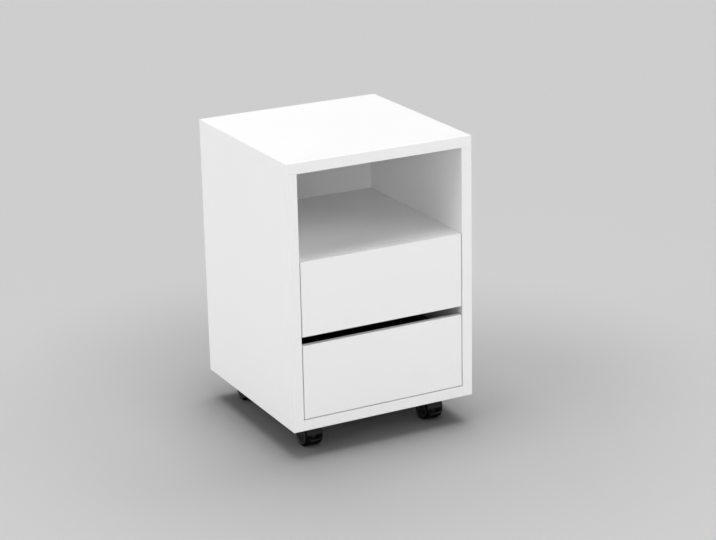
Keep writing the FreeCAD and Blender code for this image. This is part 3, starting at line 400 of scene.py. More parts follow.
class Shape(Tree):
    """A geometry tree with named inputs, which ends in a plain mesh with its material."""

    def __init__(self, name, **inputs):
        self.tree = bpy.data.node_groups.new(name, "GeometryNodeTree")
        face = self.tree.interface
        face.new_socket("Geometry", in_out="INPUT", socket_type="NodeSocketGeometry")
        for key, kind in inputs.items():
            face.new_socket(key.replace("_", " "), in_out="INPUT", socket_type=kind)
        face.new_socket("Material", in_out="INPUT", socket_type=FACING)
        face.new_socket("Geometry", in_out="OUTPUT", socket_type="NodeSocketGeometry")
        super().__init__(self.tree.nodes, self.tree.links)
        self.given = self.add("NodeGroupInput").outputs

    def join(self, *pieces):
        """Several geometries as one."""
        node = self.add("GeometryNodeJoinGeometry")
        for piece in reversed(pieces):
            self.links.new(piece, node.inputs[0])
        return node.outputs[0]

    def vector(self, x, y, z):
        """Three numbers as a vector."""
        return self.add("ShaderNodeCombineXYZ", {"X": x, "Y": y, "Z": z}).outputs[0]

    def moved(self, geometry, place=(0.0, 0.0, 0.0), turn=(0.0, 0.0, 0.0)):
        """A geometry turned and put in another place."""
        return self.add("GeometryNodeTransform", {"Geometry": geometry, "Translation": place,
                                                  "Rotation": turn}).outputs[0]

    def cube(self, size, place):
        """A box of a size about a place."""
        block = self.add("GeometryNodeMeshCube", {"Size": size}).outputs["Mesh"]
        return self.moved(block, place)

    def turned(self, profile, sides, flutes=0, flute_depth=0.0):
        """A profile of radii and heights turned about Z, with flutes along it if it has any."""
        count = self.add("GeometryNodeAttributeDomainSize", {"Geometry": profile}).outputs["Point Count"]
        sheet = self.add("GeometryNodeMeshGrid", {"Size X": 1.0, "Size Y": 1.0,
                                                  "Vertices X": self.math("ADD", sides, 1),
                                                  "Vertices Y": count}).outputs["Mesh"]
        # The sheet runs from -0.5 to 0.5: its X becomes the turn, and its Y the row of the profile
        position = self.add("GeometryNodeInputPosition").outputs[0]
        here = self.add("ShaderNodeSeparateXYZ", {"Vector": position}).outputs
        angle = self.math("MULTIPLY", self.math("ADD", here[0], 0.5), math.tau)
        along = self.math("MULTIPLY", self.math("ADD", here[1], 0.5), self.math("SUBTRACT", count, 1))
        row = self.math("ROUND", along)
        point = self.add("GeometryNodeSampleIndex", {"Geometry": profile, "Value": position, "Index": row},
                         data_type="FLOAT_VECTOR", domain="POINT").outputs[0]
        found = self.add("ShaderNodeSeparateXYZ", {"Vector": point}).outputs
        ripple = self.math("COSINE", self.math("MULTIPLY", angle, flutes))
        wave = self.math("MULTIPLY_ADD", ripple, 0.5, 0.5)
        radius = self.math("SUBTRACT", found[0], self.math("MULTIPLY", wave, flute_depth))
        radius = self.math("MAXIMUM", radius, 0.0)
        spot = self.vector(self.math("MULTIPLY", radius, self.math("COSINE", angle)),
                           self.math("MULTIPLY", radius, self.math("SINE", angle)), found[2])
        wrapped = self.add("GeometryNodeSetPosition", {"Geometry": sheet, "Position": spot}).outputs[0]
        return self.add("GeometryNodeMergeByDistance", {"Geometry": wrapped, "Distance": WELD}).outputs[0]

    def finish(self, geometry, patch=None, patch_material=None):
        """End the tree with real geometry in its material, and a patch of it in another."""
        geometry = self.add("GeometryNodeRealizeInstances", {"Geometry": geometry}).outputs[0]
        geometry = self.add("GeometryNodeSetMaterial", {"Geometry": geometry,
                                                        "Material": self.given["Material"]}).outputs[0]
        if patch is not None:
            geometry = self.add("GeometryNodeSetMaterial", {"Geometry": geometry, "Selection": patch,
                                                            "Material": patch_material}).outputs[0]
        self.add("NodeGroupOutput", {"Geometry": geometry})
        return self.tree


def grow(name, mesh, tree, material, **inputs):
    """An object whose mesh a geometry tree makes from a mesh and its named inputs."""
    obj = new_object(name, mesh)
    modifier = obj.modifiers.new(tree.name, "NODES")
    modifier.node_group = tree
    for key, value in {**inputs, "Material": material}.items():
        modifier[tree.interface.items_tree[key.replace("_", " ")].identifier] = value
    return settle(obj)


def shade(colour, factor):
    """A colour made lighter or darker."""
    return tuple(min(channel * factor, 1.0) for channel in colour)


# Finishes

def faced_board(name, colour, roughness, looks, node):
    """Melamine facing with fine dimples, and the glue line of the band along its edges."""
    low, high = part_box(node)
    low, high = Vector(low), Vector(high)
    sizes = high - low
    thin = min(range(3), key=lambda i: sizes[i])
    finish = Finish(name, IOR=1.5)
    cloud = finish.noise(190 * MM, 3.0)
    speck = finish.noise(1.6 * MM, 2.0, 0.6)
    tone = finish.math("ADD", finish.math("MULTIPLY", cloud, 0.7), finish.math("MULTIPLY", speck, 0.3))
    base = finish.tint(tone, shade(colour, 0.985), shade(colour, 1.015))
    place = finish.add("ShaderNodeSeparateXYZ", {"Vector": finish.place}).outputs
    normal = finish.add("ShaderNodeSeparateXYZ",
                        {"Vector": finish.add("ShaderNodeNewGeometry").outputs["Normal"]}).outputs
    line = None
    for axis in range(3):
        if axis == thin:
            continue
        middle = (low[axis] + high[axis]) / 2
        half = sizes[axis] / 2
        reach = finish.math("ABSOLUTE", finish.math("SUBTRACT", place[axis], middle))
        off_line = finish.math("ABSOLUTE", finish.math("SUBTRACT", reach, half - looks.band))
        here = finish.ramp(off_line, 0.05 * MM, 0.12 * MM, 1.0, 0.0)
        line = here if line is None else finish.math("MAXIMUM", line, here)
    face_on = finish.ramp(finish.math("ABSOLUTE", normal[thin]), 0.9, 0.99)
    line = finish.math("MULTIPLY", line, face_on)
    finish.colour(finish.blend(base, finish.math("MULTIPLY", line, 0.35), shade(colour, 0.45)))
    worn = finish.noise(45 * MM, 3.0, 0.6)
    finish.roughness(finish.ramp(worn, 0.25, 0.75, roughness - 0.04, roughness + 0.05))
    pearl = finish.noise(looks.pearl_pitch, 2.0, 0.45)
    finish.emboss((pearl, looks.pearl_depth), (finish.math("MULTIPLY", line, -1.0), 0.03 * MM))
    return finish.material


def hardboard(colour):
    """Dark lacquered hardboard with pressed fibres, in the near-black box colour that partly paints the
    shade behind the finger gap.
    """
    finish = Finish("lacquered_hardboard", IOR=1.48)
    fibre = finish.noise(3 * MM, 5.0, 0.65, finish.stretched((1.0, 0.25, 1.0)))
    finish.colour(finish.tint(fibre, shade(colour, 0.75), shade(colour, 1.45)))
    finish.roughness(finish.ramp(fibre, 0.3, 0.7, 0.42, 0.62))
    finish.emboss((fibre, 0.05 * MM), (finish.noise(0.7 * MM, 2.0), 0.02 * MM))
    return finish.material


def beech(colour):
    """Raw beech with its grain along Z and short flecks."""
    finish = Finish("raw_beech", IOR=1.45)
    grain = finish.noise(1.2 * MM, 4.0, 0.6, finish.stretched((1.0, 1.0, 0.12)))
    fleck = finish.noise(0.6 * MM, 2.0, 0.5, finish.stretched((1.0, 1.0, 0.3)))
    amount = finish.math("ADD", finish.math("MULTIPLY", grain, 0.65), finish.math("MULTIPLY", fleck, 0.35))
    finish.colour(finish.tint(amount, shade(colour, 0.72), shade(colour, 1.25)))
    finish.roughness(finish.ramp(grain, 0.2, 0.8, 0.55, 0.75))
    finish.emboss((grain, 0.06 * MM))
    return finish.material


def zinc(name, colour, roughness, drawn=(1.0, 1.0, 1.0)):
    """Zinc plated steel with rolling marks along one axis and a faint yellow and blue cast."""
    finish = Finish(name, Metallic=1.0)
    cast = finish.noise(35 * MM, 3.0, 0.55)
    warm = (colour[0] * 1.04, colour[1] * 1.01, colour[2] * 0.93)
    cool = (colour[0] * 0.95, colour[1] * 0.99, colour[2] * 1.05)
    rolled = finish.noise(1.1 * MM, 3.0, 0.6, finish.stretched(drawn))
    base = finish.tint(cast, warm, cool)
    finish.colour(finish.blend(base, finish.ramp(rolled, 0.35, 0.8, 0.0, 0.18), shade(colour, 0.6)))
    finish.roughness(finish.ramp(rolled, 0.2, 0.8, roughness - 0.06, roughness + 0.1))
    finish.emboss((rolled, 0.012 * MM), (finish.noise(0.4 * MM, 2.0), 0.006 * MM))
    return finish.material


def polished_steel(colour):
    """Polished hardened steel with hair-fine turning marks."""
    finish = Finish("polished_steel", Metallic=1.0)
    mark = finish.noise(0.5 * MM, 3.0, 0.6, finish.stretched((4.0, 1.0, 1.0)))
    finish.colour(finish.tint(mark, shade(colour, 0.92), shade(colour, 1.06)))
    finish.roughness(finish.ramp(mark, 0.2, 0.8, 0.1, 0.2))
    finish.emboss((mark, 0.002 * MM))
    return finish.material


def moulded_nylon(name, colour, roughness, grain_depth, gloss=0.5):
    """Black moulded nylon: eroded mould grain, flow clouds and a few fine scuffs."""
    finish = Finish(name, Specular_IOR_Level=gloss)
    flow = finish.noise(11 * MM, 3.0, 0.55)
    scuff = finish.noise(0.9 * MM, 4.0, 0.7, finish.stretched((1.0, 3.0, 6.0)))
    scratched = finish.ramp(scuff, 0.62, 0.74)
    base = finish.tint(flow, shade(colour, 0.8), shade(colour, 1.25))
    finish.colour(finish.blend(base, finish.math("MULTIPLY", scratched, 0.35), shade(colour, 2.6)))
    spread = finish.ramp(flow, 0.3, 0.7, roughness - 0.04, roughness + 0.04)
    finish.roughness(finish.math("ADD", spread, finish.math("MULTIPLY", scratched, 0.12)))
    finish.emboss((finish.noise(0.4 * MM, 3.0, 0.6), grain_depth), (flow, 0.03 * MM))
    return finish.material


def soft_tread(colour):
    """Matt black soft plastic with fine dust rubbed into it; its near black, darker than the wheels, is
    partly painted shade for the slot under the hood.
    """
    finish = Finish("soft_tread", Specular_IOR_Level=0.12)
    dust = finish.noise(1.6 * MM, 4.0, 0.65)
    finish.colour(finish.tint(finish.ramp(dust, 0.45, 0.8), colour, shade(colour, 2.2)))
    finish.roughness(finish.ramp(dust, 0.3, 0.7, 0.62, 0.8))
    finish.emboss((dust, 0.02 * MM))
    return finish.material


def coat(obj, material):
    """Put one material on all of an object."""
    obj.data.materials.clear()
    obj.data.materials.append(material)


# Shapes

def islands(mesh):
    """The vertices of each separate part of an edit mesh, in the order of the mesh."""
    found = set()
    groups = []
    for first in mesh.verts:
        if first in found:
            continue
        found.add(first)
        walk = [first]
        group = []
        while walk:
            vert = walk.pop()
            group.append(vert)
            near = {edge.other_vert(vert) for edge in vert.link_edges} - found
            found |= near
            walk += near
        groups.append(group)
    return groups


def solids(node):
    """The corner points of each separate solid of a CAD node."""
    mesh = bmesh.new()
    mesh.from_mesh(frame["nodes"][node].data)
    bmesh.ops.remove_doubles(mesh, verts=mesh.verts, dist=CAD_WELD)
    groups = [[vert.co.copy() for vert in group] for group in islands(mesh)]
    mesh.free()
    return groups


def corners_of(points):
    """The lowest and highest corner of some points."""
    low = Vector(min(point[i] for point in points) for i in range(3))
    high = Vector(max(point[i] for point in points) for i in range(3))
    return low, high


def lie_of(points):
    """The lowest and highest corner of some points, and the axis along which they are longest."""
    low, high = corners_of(points)
    return low, high, max(range(3), key=lambda i: high[i] - low[i])


def along(axis, way=1):
    """A unit vector along an axis, forwards or backwards."""
    return Vector([way if i == axis else 0 for i in range(3)])


def body_of(node):
    """The body that a CAD node rides on."""
    bodies = frame["record"]["behaviour"]["bodies"]
    return next(body for body, nodes in bodies.items() if node in nodes)


def stand_for(piece, node):
    """Let a finished piece stand for a CAD node."""
    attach(piece, body_of(node))
    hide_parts(node)


def profile_mesh(name, points):
    """A line through points of a radius and a height, in millimetres, for a turned shape."""
    mesh = bpy.data.meshes.new(name)
    verts = [(radius * MM, 0, height * MM) for radius, height in points]
    mesh.from_pydata(verts, [(i, i + 1) for i in range(len(verts) - 1)], [])
    return mesh


def arc(across, up, radius, start, end, steps):
    """Points of an arc about a middle, between two angles that count from straight up."""
    turns = [start + (end - start) * i / steps for i in range(steps + 1)]
    return [(across + radius * math.sin(turn), up + radius * math.cos(turn)) for turn in turns]


def point_mesh(name, places, aims):
    """Loose points, each with the way that its piece aims."""
    mesh = bpy.data.meshes.new(name)
    mesh.from_pydata([tuple(place) for place in places], [], [])
    attribute = mesh.attributes.new("aim", "FLOAT_VECTOR", "POINT")
    for i, aim in enumerate(aims):
        attribute.data[i].vector = aim
    return mesh


def tidy_solid(mesh, sharp):
    """Merge doubles, point all faces outwards and shade smoothly up to an angle in degrees."""
    work = bmesh.new()
    work.from_mesh(mesh)
    bmesh.ops.remove_doubles(work, verts=work.verts, dist=WELD)
    bmesh.ops.recalc_face_normals(work, faces=work.faces)
    work.to_mesh(mesh)
    work.free()
    smooth_by_angle(mesh, sharp)


def softened_copy(node, name, width):
    """A copy of a CAD node with its sharp edges rounded over and its large flat faces kept flat."""
    mesh = bpy.data.meshes.new(name)
    work = bmesh.new()
    work.from_mesh(frame["nodes"][node].data)
    bmesh.ops.remove_doubles(work, verts=work.verts, dist=CAD_WELD)
    bmesh.ops.dissolve_limit(work, angle_limit=math.radians(FLAT_BEND), verts=work.verts, edges=work.edges)
    work.to_mesh(mesh)
    work.free()
    obj = new_object(name, mesh)
    bevel = obj.modifiers.new("edges", "BEVEL")
    bevel.width = width
    bevel.segments = 2
    bevel.limit_method = "ANGLE"
    bevel.angle_limit = math.radians(ROUNDED_BEND)
    bevel.use_clamp_overlap = True
    settle(obj)
    low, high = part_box(node)
    for vertex in obj.data.vertices:
        vertex.co = [min(max(value, least), most) for value, least, most in zip(vertex.co, low, high)]
    smooth_by_angle(obj.data, SHARP_BEND)
    for face in obj.data.polygons:
        square_on = max(abs(part) for part in face.normal) > SQUARE_ON
        if square_on and face.area > FLAT_AREA:
            face.use_smooth = False
    return obj


def join_pieces(name, pieces):
    """One object made of several, which keeps their materials."""
    work = bmesh.new()
    materials = []
    for piece in pieces:
        start = len(work.faces)
        work.from_mesh(piece.data)
        work.faces.ensure_lookup_table()
        shift = len(materials)
        materials += list(piece.data.materials)
        for face in work.faces[start:]:
            face.material_index += shift
    mesh = bpy.data.meshes.new(name)
    work.to_mesh(mesh)
    work.free()
    for material in materials:
        mesh.materials.append(material)
    for piece in pieces:
        bpy.data.objects.remove(piece)
    return new_object(name, mesh)


def new_object(name, mesh):
    """An object for a mesh, in the scene."""
    obj = bpy.data.objects.new(name, mesh)
    bpy.context.scene.collection.objects.link(obj)
    return obj


def settle(obj):
    """Make an object's live modifiers its plain mesh."""
    graph = bpy.context.evaluated_depsgraph_get()
    graph.update()
    mesh = bpy.data.meshes.new_from_object(obj.evaluated_get(graph), depsgraph=graph)
    mesh.name = obj.name
    obj.modifiers.clear()
    obj.data = mesh
    return obj


def smooth_by_angle(mesh, sharp):
    """Smooth shading, with sharp edges kept where faces meet at more than an angle in degrees."""
    mesh.shade_smooth()
    mesh.set_sharp_from_angle(angle=math.radians(sharp))


# Geometry trees

def screw_tree():
    """A turned screw with a raised thread on its shank and a cross recess in its head."""
    shape = Shape("threaded_screw", Sides=COUNT, Thread_Radius=LENGTH, Thread_Height=LENGTH,
                  Thread_Start=LENGTH, Thread_Length=LENGTH, Pitch=LENGTH, Recess_Width=LENGTH,
                  Recess_Depth=LENGTH, Recess_Level=LENGTH)
    given = shape.given
    body = shape.turned(given["Geometry"], given["Sides"])
    width = given["Recess Width"]
    slim = shape.math("MULTIPLY", width, WING_WIDTH)
    deep = shape.math("MULTIPLY", given["Recess Depth"], 2.0)
    core = shape.math("MULTIPLY", width, CORE_WIDTH)
    core_deep = shape.math("MULTIPLY", deep, CORE_DEPTH)
    level = shape.vector(0.0, 0.0, given["Recess Level"])
    cut = shape.add("GeometryNodeMeshBoolean", {"Mesh 1": body, "Self Intersection": True},
                    operation="DIFFERENCE", solver="EXACT")
    for size in ((width, slim, deep), (slim, width, deep), (core, core, core_deep)):
        shape.links.new(shape.cube(shape.vector(*size), level), cut.inputs["Mesh 2"])
    turns = shape.math("DIVIDE", given["Thread Length"], given["Pitch"])
    spiral = shape.add("GeometryNodeCurveSpiral", {"Resolution": 14, "Rotations": turns,
                                                   "Start Radius": given["Thread Radius"],
                                                   "End Radius": given["Thread Radius"],
                                                   "Height": given["Thread Length"]}).outputs[0]
    spiral = shape.moved(spiral, shape.vector(0.0, 0.0, given["Thread Start"]))
    ridge = shape.add("GeometryNodeCurvePrimitiveCircle", {"Resolution": 3,
                                                           "Radius": given["Thread Height"]})
    thread = shape.add("GeometryNodeCurveToMesh", {"Curve": spiral, "Profile Curve": ridge.outputs["Curve"],
                                                   "Fill Caps": True}).outputs[0]
    return shape.finish(shape.join(cut.outputs["Mesh"], thread))


def set_out_tree():
    """A piece set out at points, each copy aimed and turned about its own axis."""
    shape = Shape("set_out", Piece=PIECE, Seed=COUNT)
    piece = shape.add("GeometryNodeObjectInfo", {"Object": shape.given["Piece"]}).outputs["Geometry"]
    aim = shape.add("GeometryNodeInputNamedAttribute", {"Name": "aim"}, data_type="FLOAT_VECTOR")
    turn = shape.add("FunctionNodeAlignRotationToVector", {"Vector": aim.outputs["Attribute"]}, axis="Z")
    spin = shape.add("FunctionNodeRandomValue", {"Min": 0.0, "Max": math.tau, "Seed": shape.given["Seed"]},
                     data_type="FLOAT").outputs["Value"]
    spin = shape.add("FunctionNodeEulerToRotation", {"Euler": shape.vector(0.0, 0.0, spin)}).outputs[0]
    both = shape.add("FunctionNodeRotateRotation", {"Rotation": turn.outputs[0], "Rotate By": spin},
                     rotation_space="LOCAL").outputs[0]
    placed = shape.add("GeometryNodeInstanceOnPoints", {"Points": shape.given["Geometry"],
                                                        "Instance": piece, "Rotation": both}).outputs[0]
    return shape.finish(placed)


def turned_tree():
    """A turned piece, with flutes along its length if it has any."""
    shape = Shape("fluted_piece", Sides=COUNT, Flutes=COUNT, Flute_Depth=LENGTH)
    given = shape.given
    piece = shape.turned(given["Geometry"], given["Sides"], given["Flutes"], given["Flute Depth"])
    return shape.finish(piece)


def punched_tree():
    """A slide member with slots punched through its web at points."""
    shape = Shape("punched_member", Member=PIECE, Slot_Length=LENGTH, Slot_Width=LENGTH, Reach=LENGTH)
    given = shape.given
    radius = shape.math("DIVIDE", given["Slot Width"], 2.0)
    offset = shape.math("SUBTRACT", shape.math("DIVIDE", given["Slot Length"], 2.0), radius)
    end = shape.add("GeometryNodeMeshCylinder", {"Vertices": 20, "Radius": radius, "Depth": given["Reach"]})
    end = shape.moved(end.outputs["Mesh"], turn=(0.0, math.pi / 2, 0.0))
    ends = shape.join(shape.moved(end, shape.vector(0.0, offset, 0.0)),
                      shape.moved(end, shape.vector(0.0, shape.math("MULTIPLY", offset, -1.0), 0.0)))
    slot = shape.add("GeometryNodeConvexHull", {"Geometry": ends}).outputs[0]
    slots = shape.add("GeometryNodeInstanceOnPoints", {"Points": given["Geometry"],
                                                       "Instance": slot}).outputs[0]
    slots = shape.add("GeometryNodeRealizeInstances", {"Geometry": slots}).outputs[0]
    member = shape.add("GeometryNodeObjectInfo", {"Object": given["Member"]}).outputs["Geometry"]
    cut = shape.add("GeometryNodeMeshBoolean", {"Mesh 1": member}, operation="DIFFERENCE", solver="EXACT")
    shape.links.new(slots, cut.inputs["Mesh 2"])
    return shape.finish(cut.outputs["Mesh"])


def wheel_tree():
    """A turned wheel with ribs from hub to rim and a tread in its own material, set on its axle."""
    shape = Shape("ribbed_wheel", Sides=COUNT, Ribs=COUNT, Rib_Width=LENGTH, Hub=LENGTH, Rim=LENGTH,
                  Rib_Low=LENGTH, Rib_High=LENGTH, Place=PLACE, Turn=PLACE, Tread=FACING,
                  Tread_Inside=LENGTH)
    given = shape.given
    body = shape.turned(given["Geometry"], given["Sides"])
    reach = shape.math("SUBTRACT", given["Rim"], given["Hub"])
    height = shape.math("SUBTRACT", given["Rib High"], given["Rib Low"])
    middle = shape.vector(shape.math("MULTIPLY_ADD", reach, 0.5, given["Hub"]), 0.0,
                          shape.math("MULTIPLY_ADD", height, 0.5, given["Rib Low"]))
    rib = shape.cube(shape.vector(reach, given["Rib Width"], height), middle)
    points = shape.add("GeometryNodePoints", {"Count": given["Ribs"]}).outputs[0]
    index = shape.add("GeometryNodeInputIndex").outputs[0]
    angle = shape.math("DIVIDE", shape.math("MULTIPLY", index, math.tau), given["Ribs"])
    turn = shape.add("FunctionNodeEulerToRotation", {"Euler": shape.vector(0.0, 0.0, angle)}).outputs[0]
    ribs = shape.add("GeometryNodeInstanceOnPoints", {"Points": points, "Instance": rib,
                                                      "Rotation": turn}).outputs[0]
    ribs = shape.add("GeometryNodeRealizeInstances", {"Geometry": ribs}).outputs[0]
    whole = shape.moved(shape.join(body, ribs), given["Place"], given["Turn"])
    spot = shape.add("GeometryNodeInputPosition").outputs[0]
    off = shape.add("ShaderNodeVectorMath", {0: spot, 1: given["Place"]}, operation="SUBTRACT").outputs[0]
    flat = shape.add("ShaderNodeVectorMath", {0: off, 1: (0.0, 1.0, 1.0)}, operation="MULTIPLY").outputs[0]
    away = shape.add("ShaderNodeVectorMath", {0: flat}, operation="LENGTH").outputs["Value"]
    # The outer band gets the tread material, whose near black partly paints the shade in the slot under the
    # hood
    return shape.finish(whole, shape.math("GREATER_THAN", away, given["Tread Inside"]), given["Tread"])


# Pieces

def off_axis(vector, axis):
    """The length of a vector, seen along an axis."""
    return math.hypot(vector[axis - 1], vector[axis - 2])


def read_screws(node):
    """Where the screws of a CAD node are and point, and the sizes that they share, in metres."""
    places = []
    aims = []
    for points in solids(node):
        low, high, axis = lie_of(points)
        middle = (low + high) / 2
        spots = [(point[axis], off_axis(point - middle, axis)) for point in points]
        radii = {end: max(radius for level, radius in spots if abs(level - end) < END_SLICE)
                 for end in (low[axis], high[axis])}
        tip, head = sorted(radii, key=radii.get)
        head_radius, shank_radius = radii[head], radii[tip]
        rim = head_radius * RIM_SHARE
        head_height = max(abs(level - head) for level, radius in spots if radius > rim)
        aim = along(axis, 1 if head < tip else -1)
        middle[axis] = head
        places.append(middle + aim * head_height)
        aims.append(aim)
    return places, aims, head_radius, head_height, shank_radius, abs(tip - head)


def neck_of(head, height, shank):
    """How far under its seat a screw narrows to the root of its thread, in millimetres."""
    return RAISED_NECK if height > SUNK_HEIGHT else head - shank + SUNK_NECK


def screw_profile(head, height, shank, length):
    """The outline of a screw from the middle of its head to its tip, in millimetres."""
    if height > SUNK_HEIGHT:
        outline = [(0, -height), (head * 0.42, -height * 0.99), (head * 0.7, -height * 0.9),
                   (head * 0.88, -height * 0.7), (head * 0.97, -height * 0.42), (head, -height * 0.15),
                   (head * 0.98, 0), (shank, 0), (shank, 0.8)]
    else:
        outline = [(0, 0), (head * 0.5, 0), (head - 0.12, 0), (head, 0.1), (head, 0.22),
                   (shank, head - shank + 0.1)]
    root = shank * THREAD_ROOT
    return outline + [(root, neck_of(head, height, shank)), (root, length - shank * 1.6),
                      (shank * 0.3, length - 0.3), (0, length)]


def drive_group(node, shaper, layout, material, seed, pitch_share):
    """Replace the plain screws of a CAD node with threaded ones."""
    places, aims, head, height, shank, length = read_screws(node)
    under = length - height
    outline = screw_profile(head / MM, height / MM, shank / MM, under / MM)
    start = neck_of(head / MM, height / MM, shank / MM) * MM + shank * 0.2
    screw = grow(f"{node}_pattern", profile_mesh(f"{node}_outline", outline), shaper, material, Sides=28,
                 Thread_Radius=shank * THREAD_ROOT, Thread_Height=shank * (1 - THREAD_ROOT),
                 Thread_Start=start, Thread_Length=under - start - shank * 1.3,
                 Pitch=shank * 2 * pitch_share, Recess_Width=head * 1.05,
                 Recess_Depth=min(head * 0.55, (height or head) * 0.75), Recess_Level=-height)
    tidy_solid(screw.data, sharp=40)
    piece = grow(f"{node}_driven", point_mesh(f"{node}_places", places, aims), layout, material,
                 Piece=screw, Seed=seed)
    bpy.data.objects.remove(screw)
    stand_for(piece, node)


def flute_dowels(material):
    """Replace the plain dowels with fluted and chamfered ones."""
    places = []
    aims = []
    for points in solids("case_dowels"):
        low, high, axis = lie_of(points)
        place = (low + high) / 2
        place[axis] = low[axis]
        places.append(place)
        aims.append(along(axis))
        length = (high - low)[axis] / MM
        radius = (high - low)[axis - 2] / 2 / MM
    end = radius - DOWEL_CHAMFER
    outline = [(0, 0), (end, 0), (radius, DOWEL_CHAMFER), (radius, length - DOWEL_CHAMFER),
               (end, length), (0, length)]
    dowel = grow("dowel_pattern", profile_mesh("dowel_outline", outline), turned_tree(), material,
                 Sides=60, Flutes=12, Flute_Depth=0.3 * MM)
    tidy_solid(dowel.data, sharp=30)
    piece = grow("fluted_dowels", point_mesh("dowel_places", places, aims), set_out_tree(), material,
                 Piece=dowel, Seed=4)
    bpy.data.objects.remove(dowel)
    stand_for(piece, "case_dowels")


def soften(node, width, material):
    """Replace a CAD node with a copy whose edges are rounded over."""
    piece = softened_copy(node, f"{node}_softened", width)
    coat(piece, material)
    stand_for(piece, node)


def punch_member(node, punch, material, looks):
    """Replace a member of a slide with one that has slots between its screws."""
    low, high = (Vector(corner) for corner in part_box(node))
    middle = (low + high) / 2
    places = [(middle.x, low.y + (high.y - low.y) * row, middle.z) for row in SLOT_ROWS]
    member = softened_copy(node, f"{node}_plain", MEMBER_EDGE)
    piece = grow(f"{node}_punched", point_mesh(f"{node}_slots", places, [(0, 0, 1)] * len(places)), punch,
                 material, Member=member, Slot_Length=looks.slot_length, Slot_Width=looks.slot_width,
                 Reach=30 * MM)
    bpy.data.objects.remove(member)
    tidy_solid(piece.data, sharp=SHARP_BEND)
    stand_for(piece, node)


def fill_cage(node, turner, layout, strip_finish, ball_finish):
    """Replace a ball cage with a softened strip and round balls."""
    groups = sorted(solids(node), key=lambda points: (corners_of(points)[1] - corners_of(points)[0]).length)
    places = []
    for points in groups[:-1]:
        low, high = corners_of(points)
        places.append((low + high) / 2)
        radius = (high.z - low.z) / 2
    outline = arc(0, 0, radius / MM, math.pi, 0, 12)
    ball = grow(f"{node}_pattern", profile_mesh(f"{node}_outline", outline), turner, ball_finish,
                Sides=24, Flutes=0, Flute_Depth=0.0)
    tidy_solid(ball.data, sharp=60)
    balls = grow(f"{node}_balls", point_mesh(f"{node}_places", places, [(0, 1, 0)] * len(places)), layout,
                 ball_finish, Piece=ball, Seed=7)
    bpy.data.objects.remove(ball)
    strip = softened_copy(node, f"{node}_strip", CAGE_EDGE)
    keep_longest(strip.data)
    coat(strip, strip_finish)
    stand_for(join_pieces(f"{node}_filled", [strip, balls]), node)


def keep_longest(mesh):
    """Leave only the separate part of a mesh that reaches farthest from front to back."""
    work = bmesh.new()
    work.from_mesh(mesh)

    def reach(group):
        """How far a part reaches from front to back."""
        return max(vert.co.y for vert in group) - min(vert.co.y for vert in group)

    for group in sorted(islands(work), key=reach)[:-1]:
        bmesh.ops.delete(work, geom=group, context="VERTS")
    work.to_mesh(mesh)
    work.free()


def wheel_profile(radius, width, shoulder, dish, cap):
    """The outline of a wheel from the middle of its face round its tread to its bore, in millimetres."""
    cap_edge = [(0, width), (cap * 0.55, width - 0.06), (cap * 0.82, width - 0.22),
                (cap * 0.95, width - 0.5), (cap, width - 0.9), (cap + 0.25, width - 1.2)]
    dish_edge = [(cap + 0.8, width - 1.3), (dish - 1.6, width - 1.15), (dish - 0.8, width - 0.85),
                 (dish - 0.3, width - 0.35), (dish, width - 0.08), (dish + 0.4, width)]
    rounding = arc(radius - shoulder, width - shoulder, shoulder, 0, math.pi / 2, 8)
    seam = (width - shoulder) * 0.55
    tread = [(radius, seam + 0.25), (radius - 0.12, seam), (radius, seam - 0.25), (radius, 1),
             (radius - 0.3, 0.3), (radius - 1, 0)]
    rim = radius - RIM_WALL
    web = width - FACE_WALL
    hollow = [(rim + INNER_CHAMFER, 0), (rim, INNER_CHAMFER), (rim, web - INNER_FILLET),
              (rim - INNER_FILLET, web), (HUB_RADIUS + INNER_FILLET, web),
              (HUB_RADIUS, web - INNER_FILLET), (HUB_RADIUS, INNER_CHAMFER),
              (HUB_RADIUS - INNER_CHAMFER, 0)]
    bore = [(BORE_RADIUS + INNER_CHAMFER, 0), (BORE_RADIUS, INNER_CHAMFER), (BORE_RADIUS, BORE_DEPTH),
            (0, BORE_DEPTH)]
    return cap_edge + dish_edge + rounding + tread + hollow + bore


def turn_wheel(node, wheel_maker, material, tread, looks, side):
    """Replace a wheel with a turned and ribbed one."""
    low, high = (Vector(corner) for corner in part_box(node))
    radius = (high.z - low.z) / 2
    width = high.x - low.x
    place = (low + high) / 2
    place.x = high.x if side == "left" else low.x
    turn = -math.pi / 2 if side == "left" else math.pi / 2
    outline = wheel_profile(radius / MM, width / MM, looks.wheel_shoulder / MM, looks.dish / MM,
                            looks.cap / MM)
    wheel = grow(f"{node}_turned", profile_mesh(f"{node}_outline", outline), wheel_maker, material,
                 Sides=72, Ribs=looks.ribs, Rib_Width=RIB_WIDTH * MM, Hub=(HUB_RADIUS - RIB_LAP) * MM,
                 Rim=radius - (RIM_WALL - RIB_LAP) * MM, Rib_Low=RIB_SETBACK * MM,
                 Rib_High=width - (FACE_WALL - RIB_LAP / 2) * MM, Place=tuple(place),
                 Turn=(0.0, turn, 0.0), Tread=tread, Tread_Inside=radius - looks.wheel_shoulder * 0.9)
    tidy_solid(wheel.data, sharp=28)
    stand_for(wheel, node)


# Panel and operators

class DressBoards(bpy.types.Operator):
    """Face the boards of the case and the drawer fronts"""

    bl_idname = "cabinet.dress_boards"
    bl_label = "Case and Fronts"

    def execute(self, context):
        looks = context.scene.board_finish
        for node in CASE_BOARDS + tuple(f"{tier}_drawer_front" for tier in TIERS):
            facing = faced_board(f"white_facing_{node}", looks.case_colour, looks.roughness, looks, node)
            soften(node, looks.edge, facing)
        flute_dowels(beech(looks.dowel_colour))
        return {"FINISHED"}


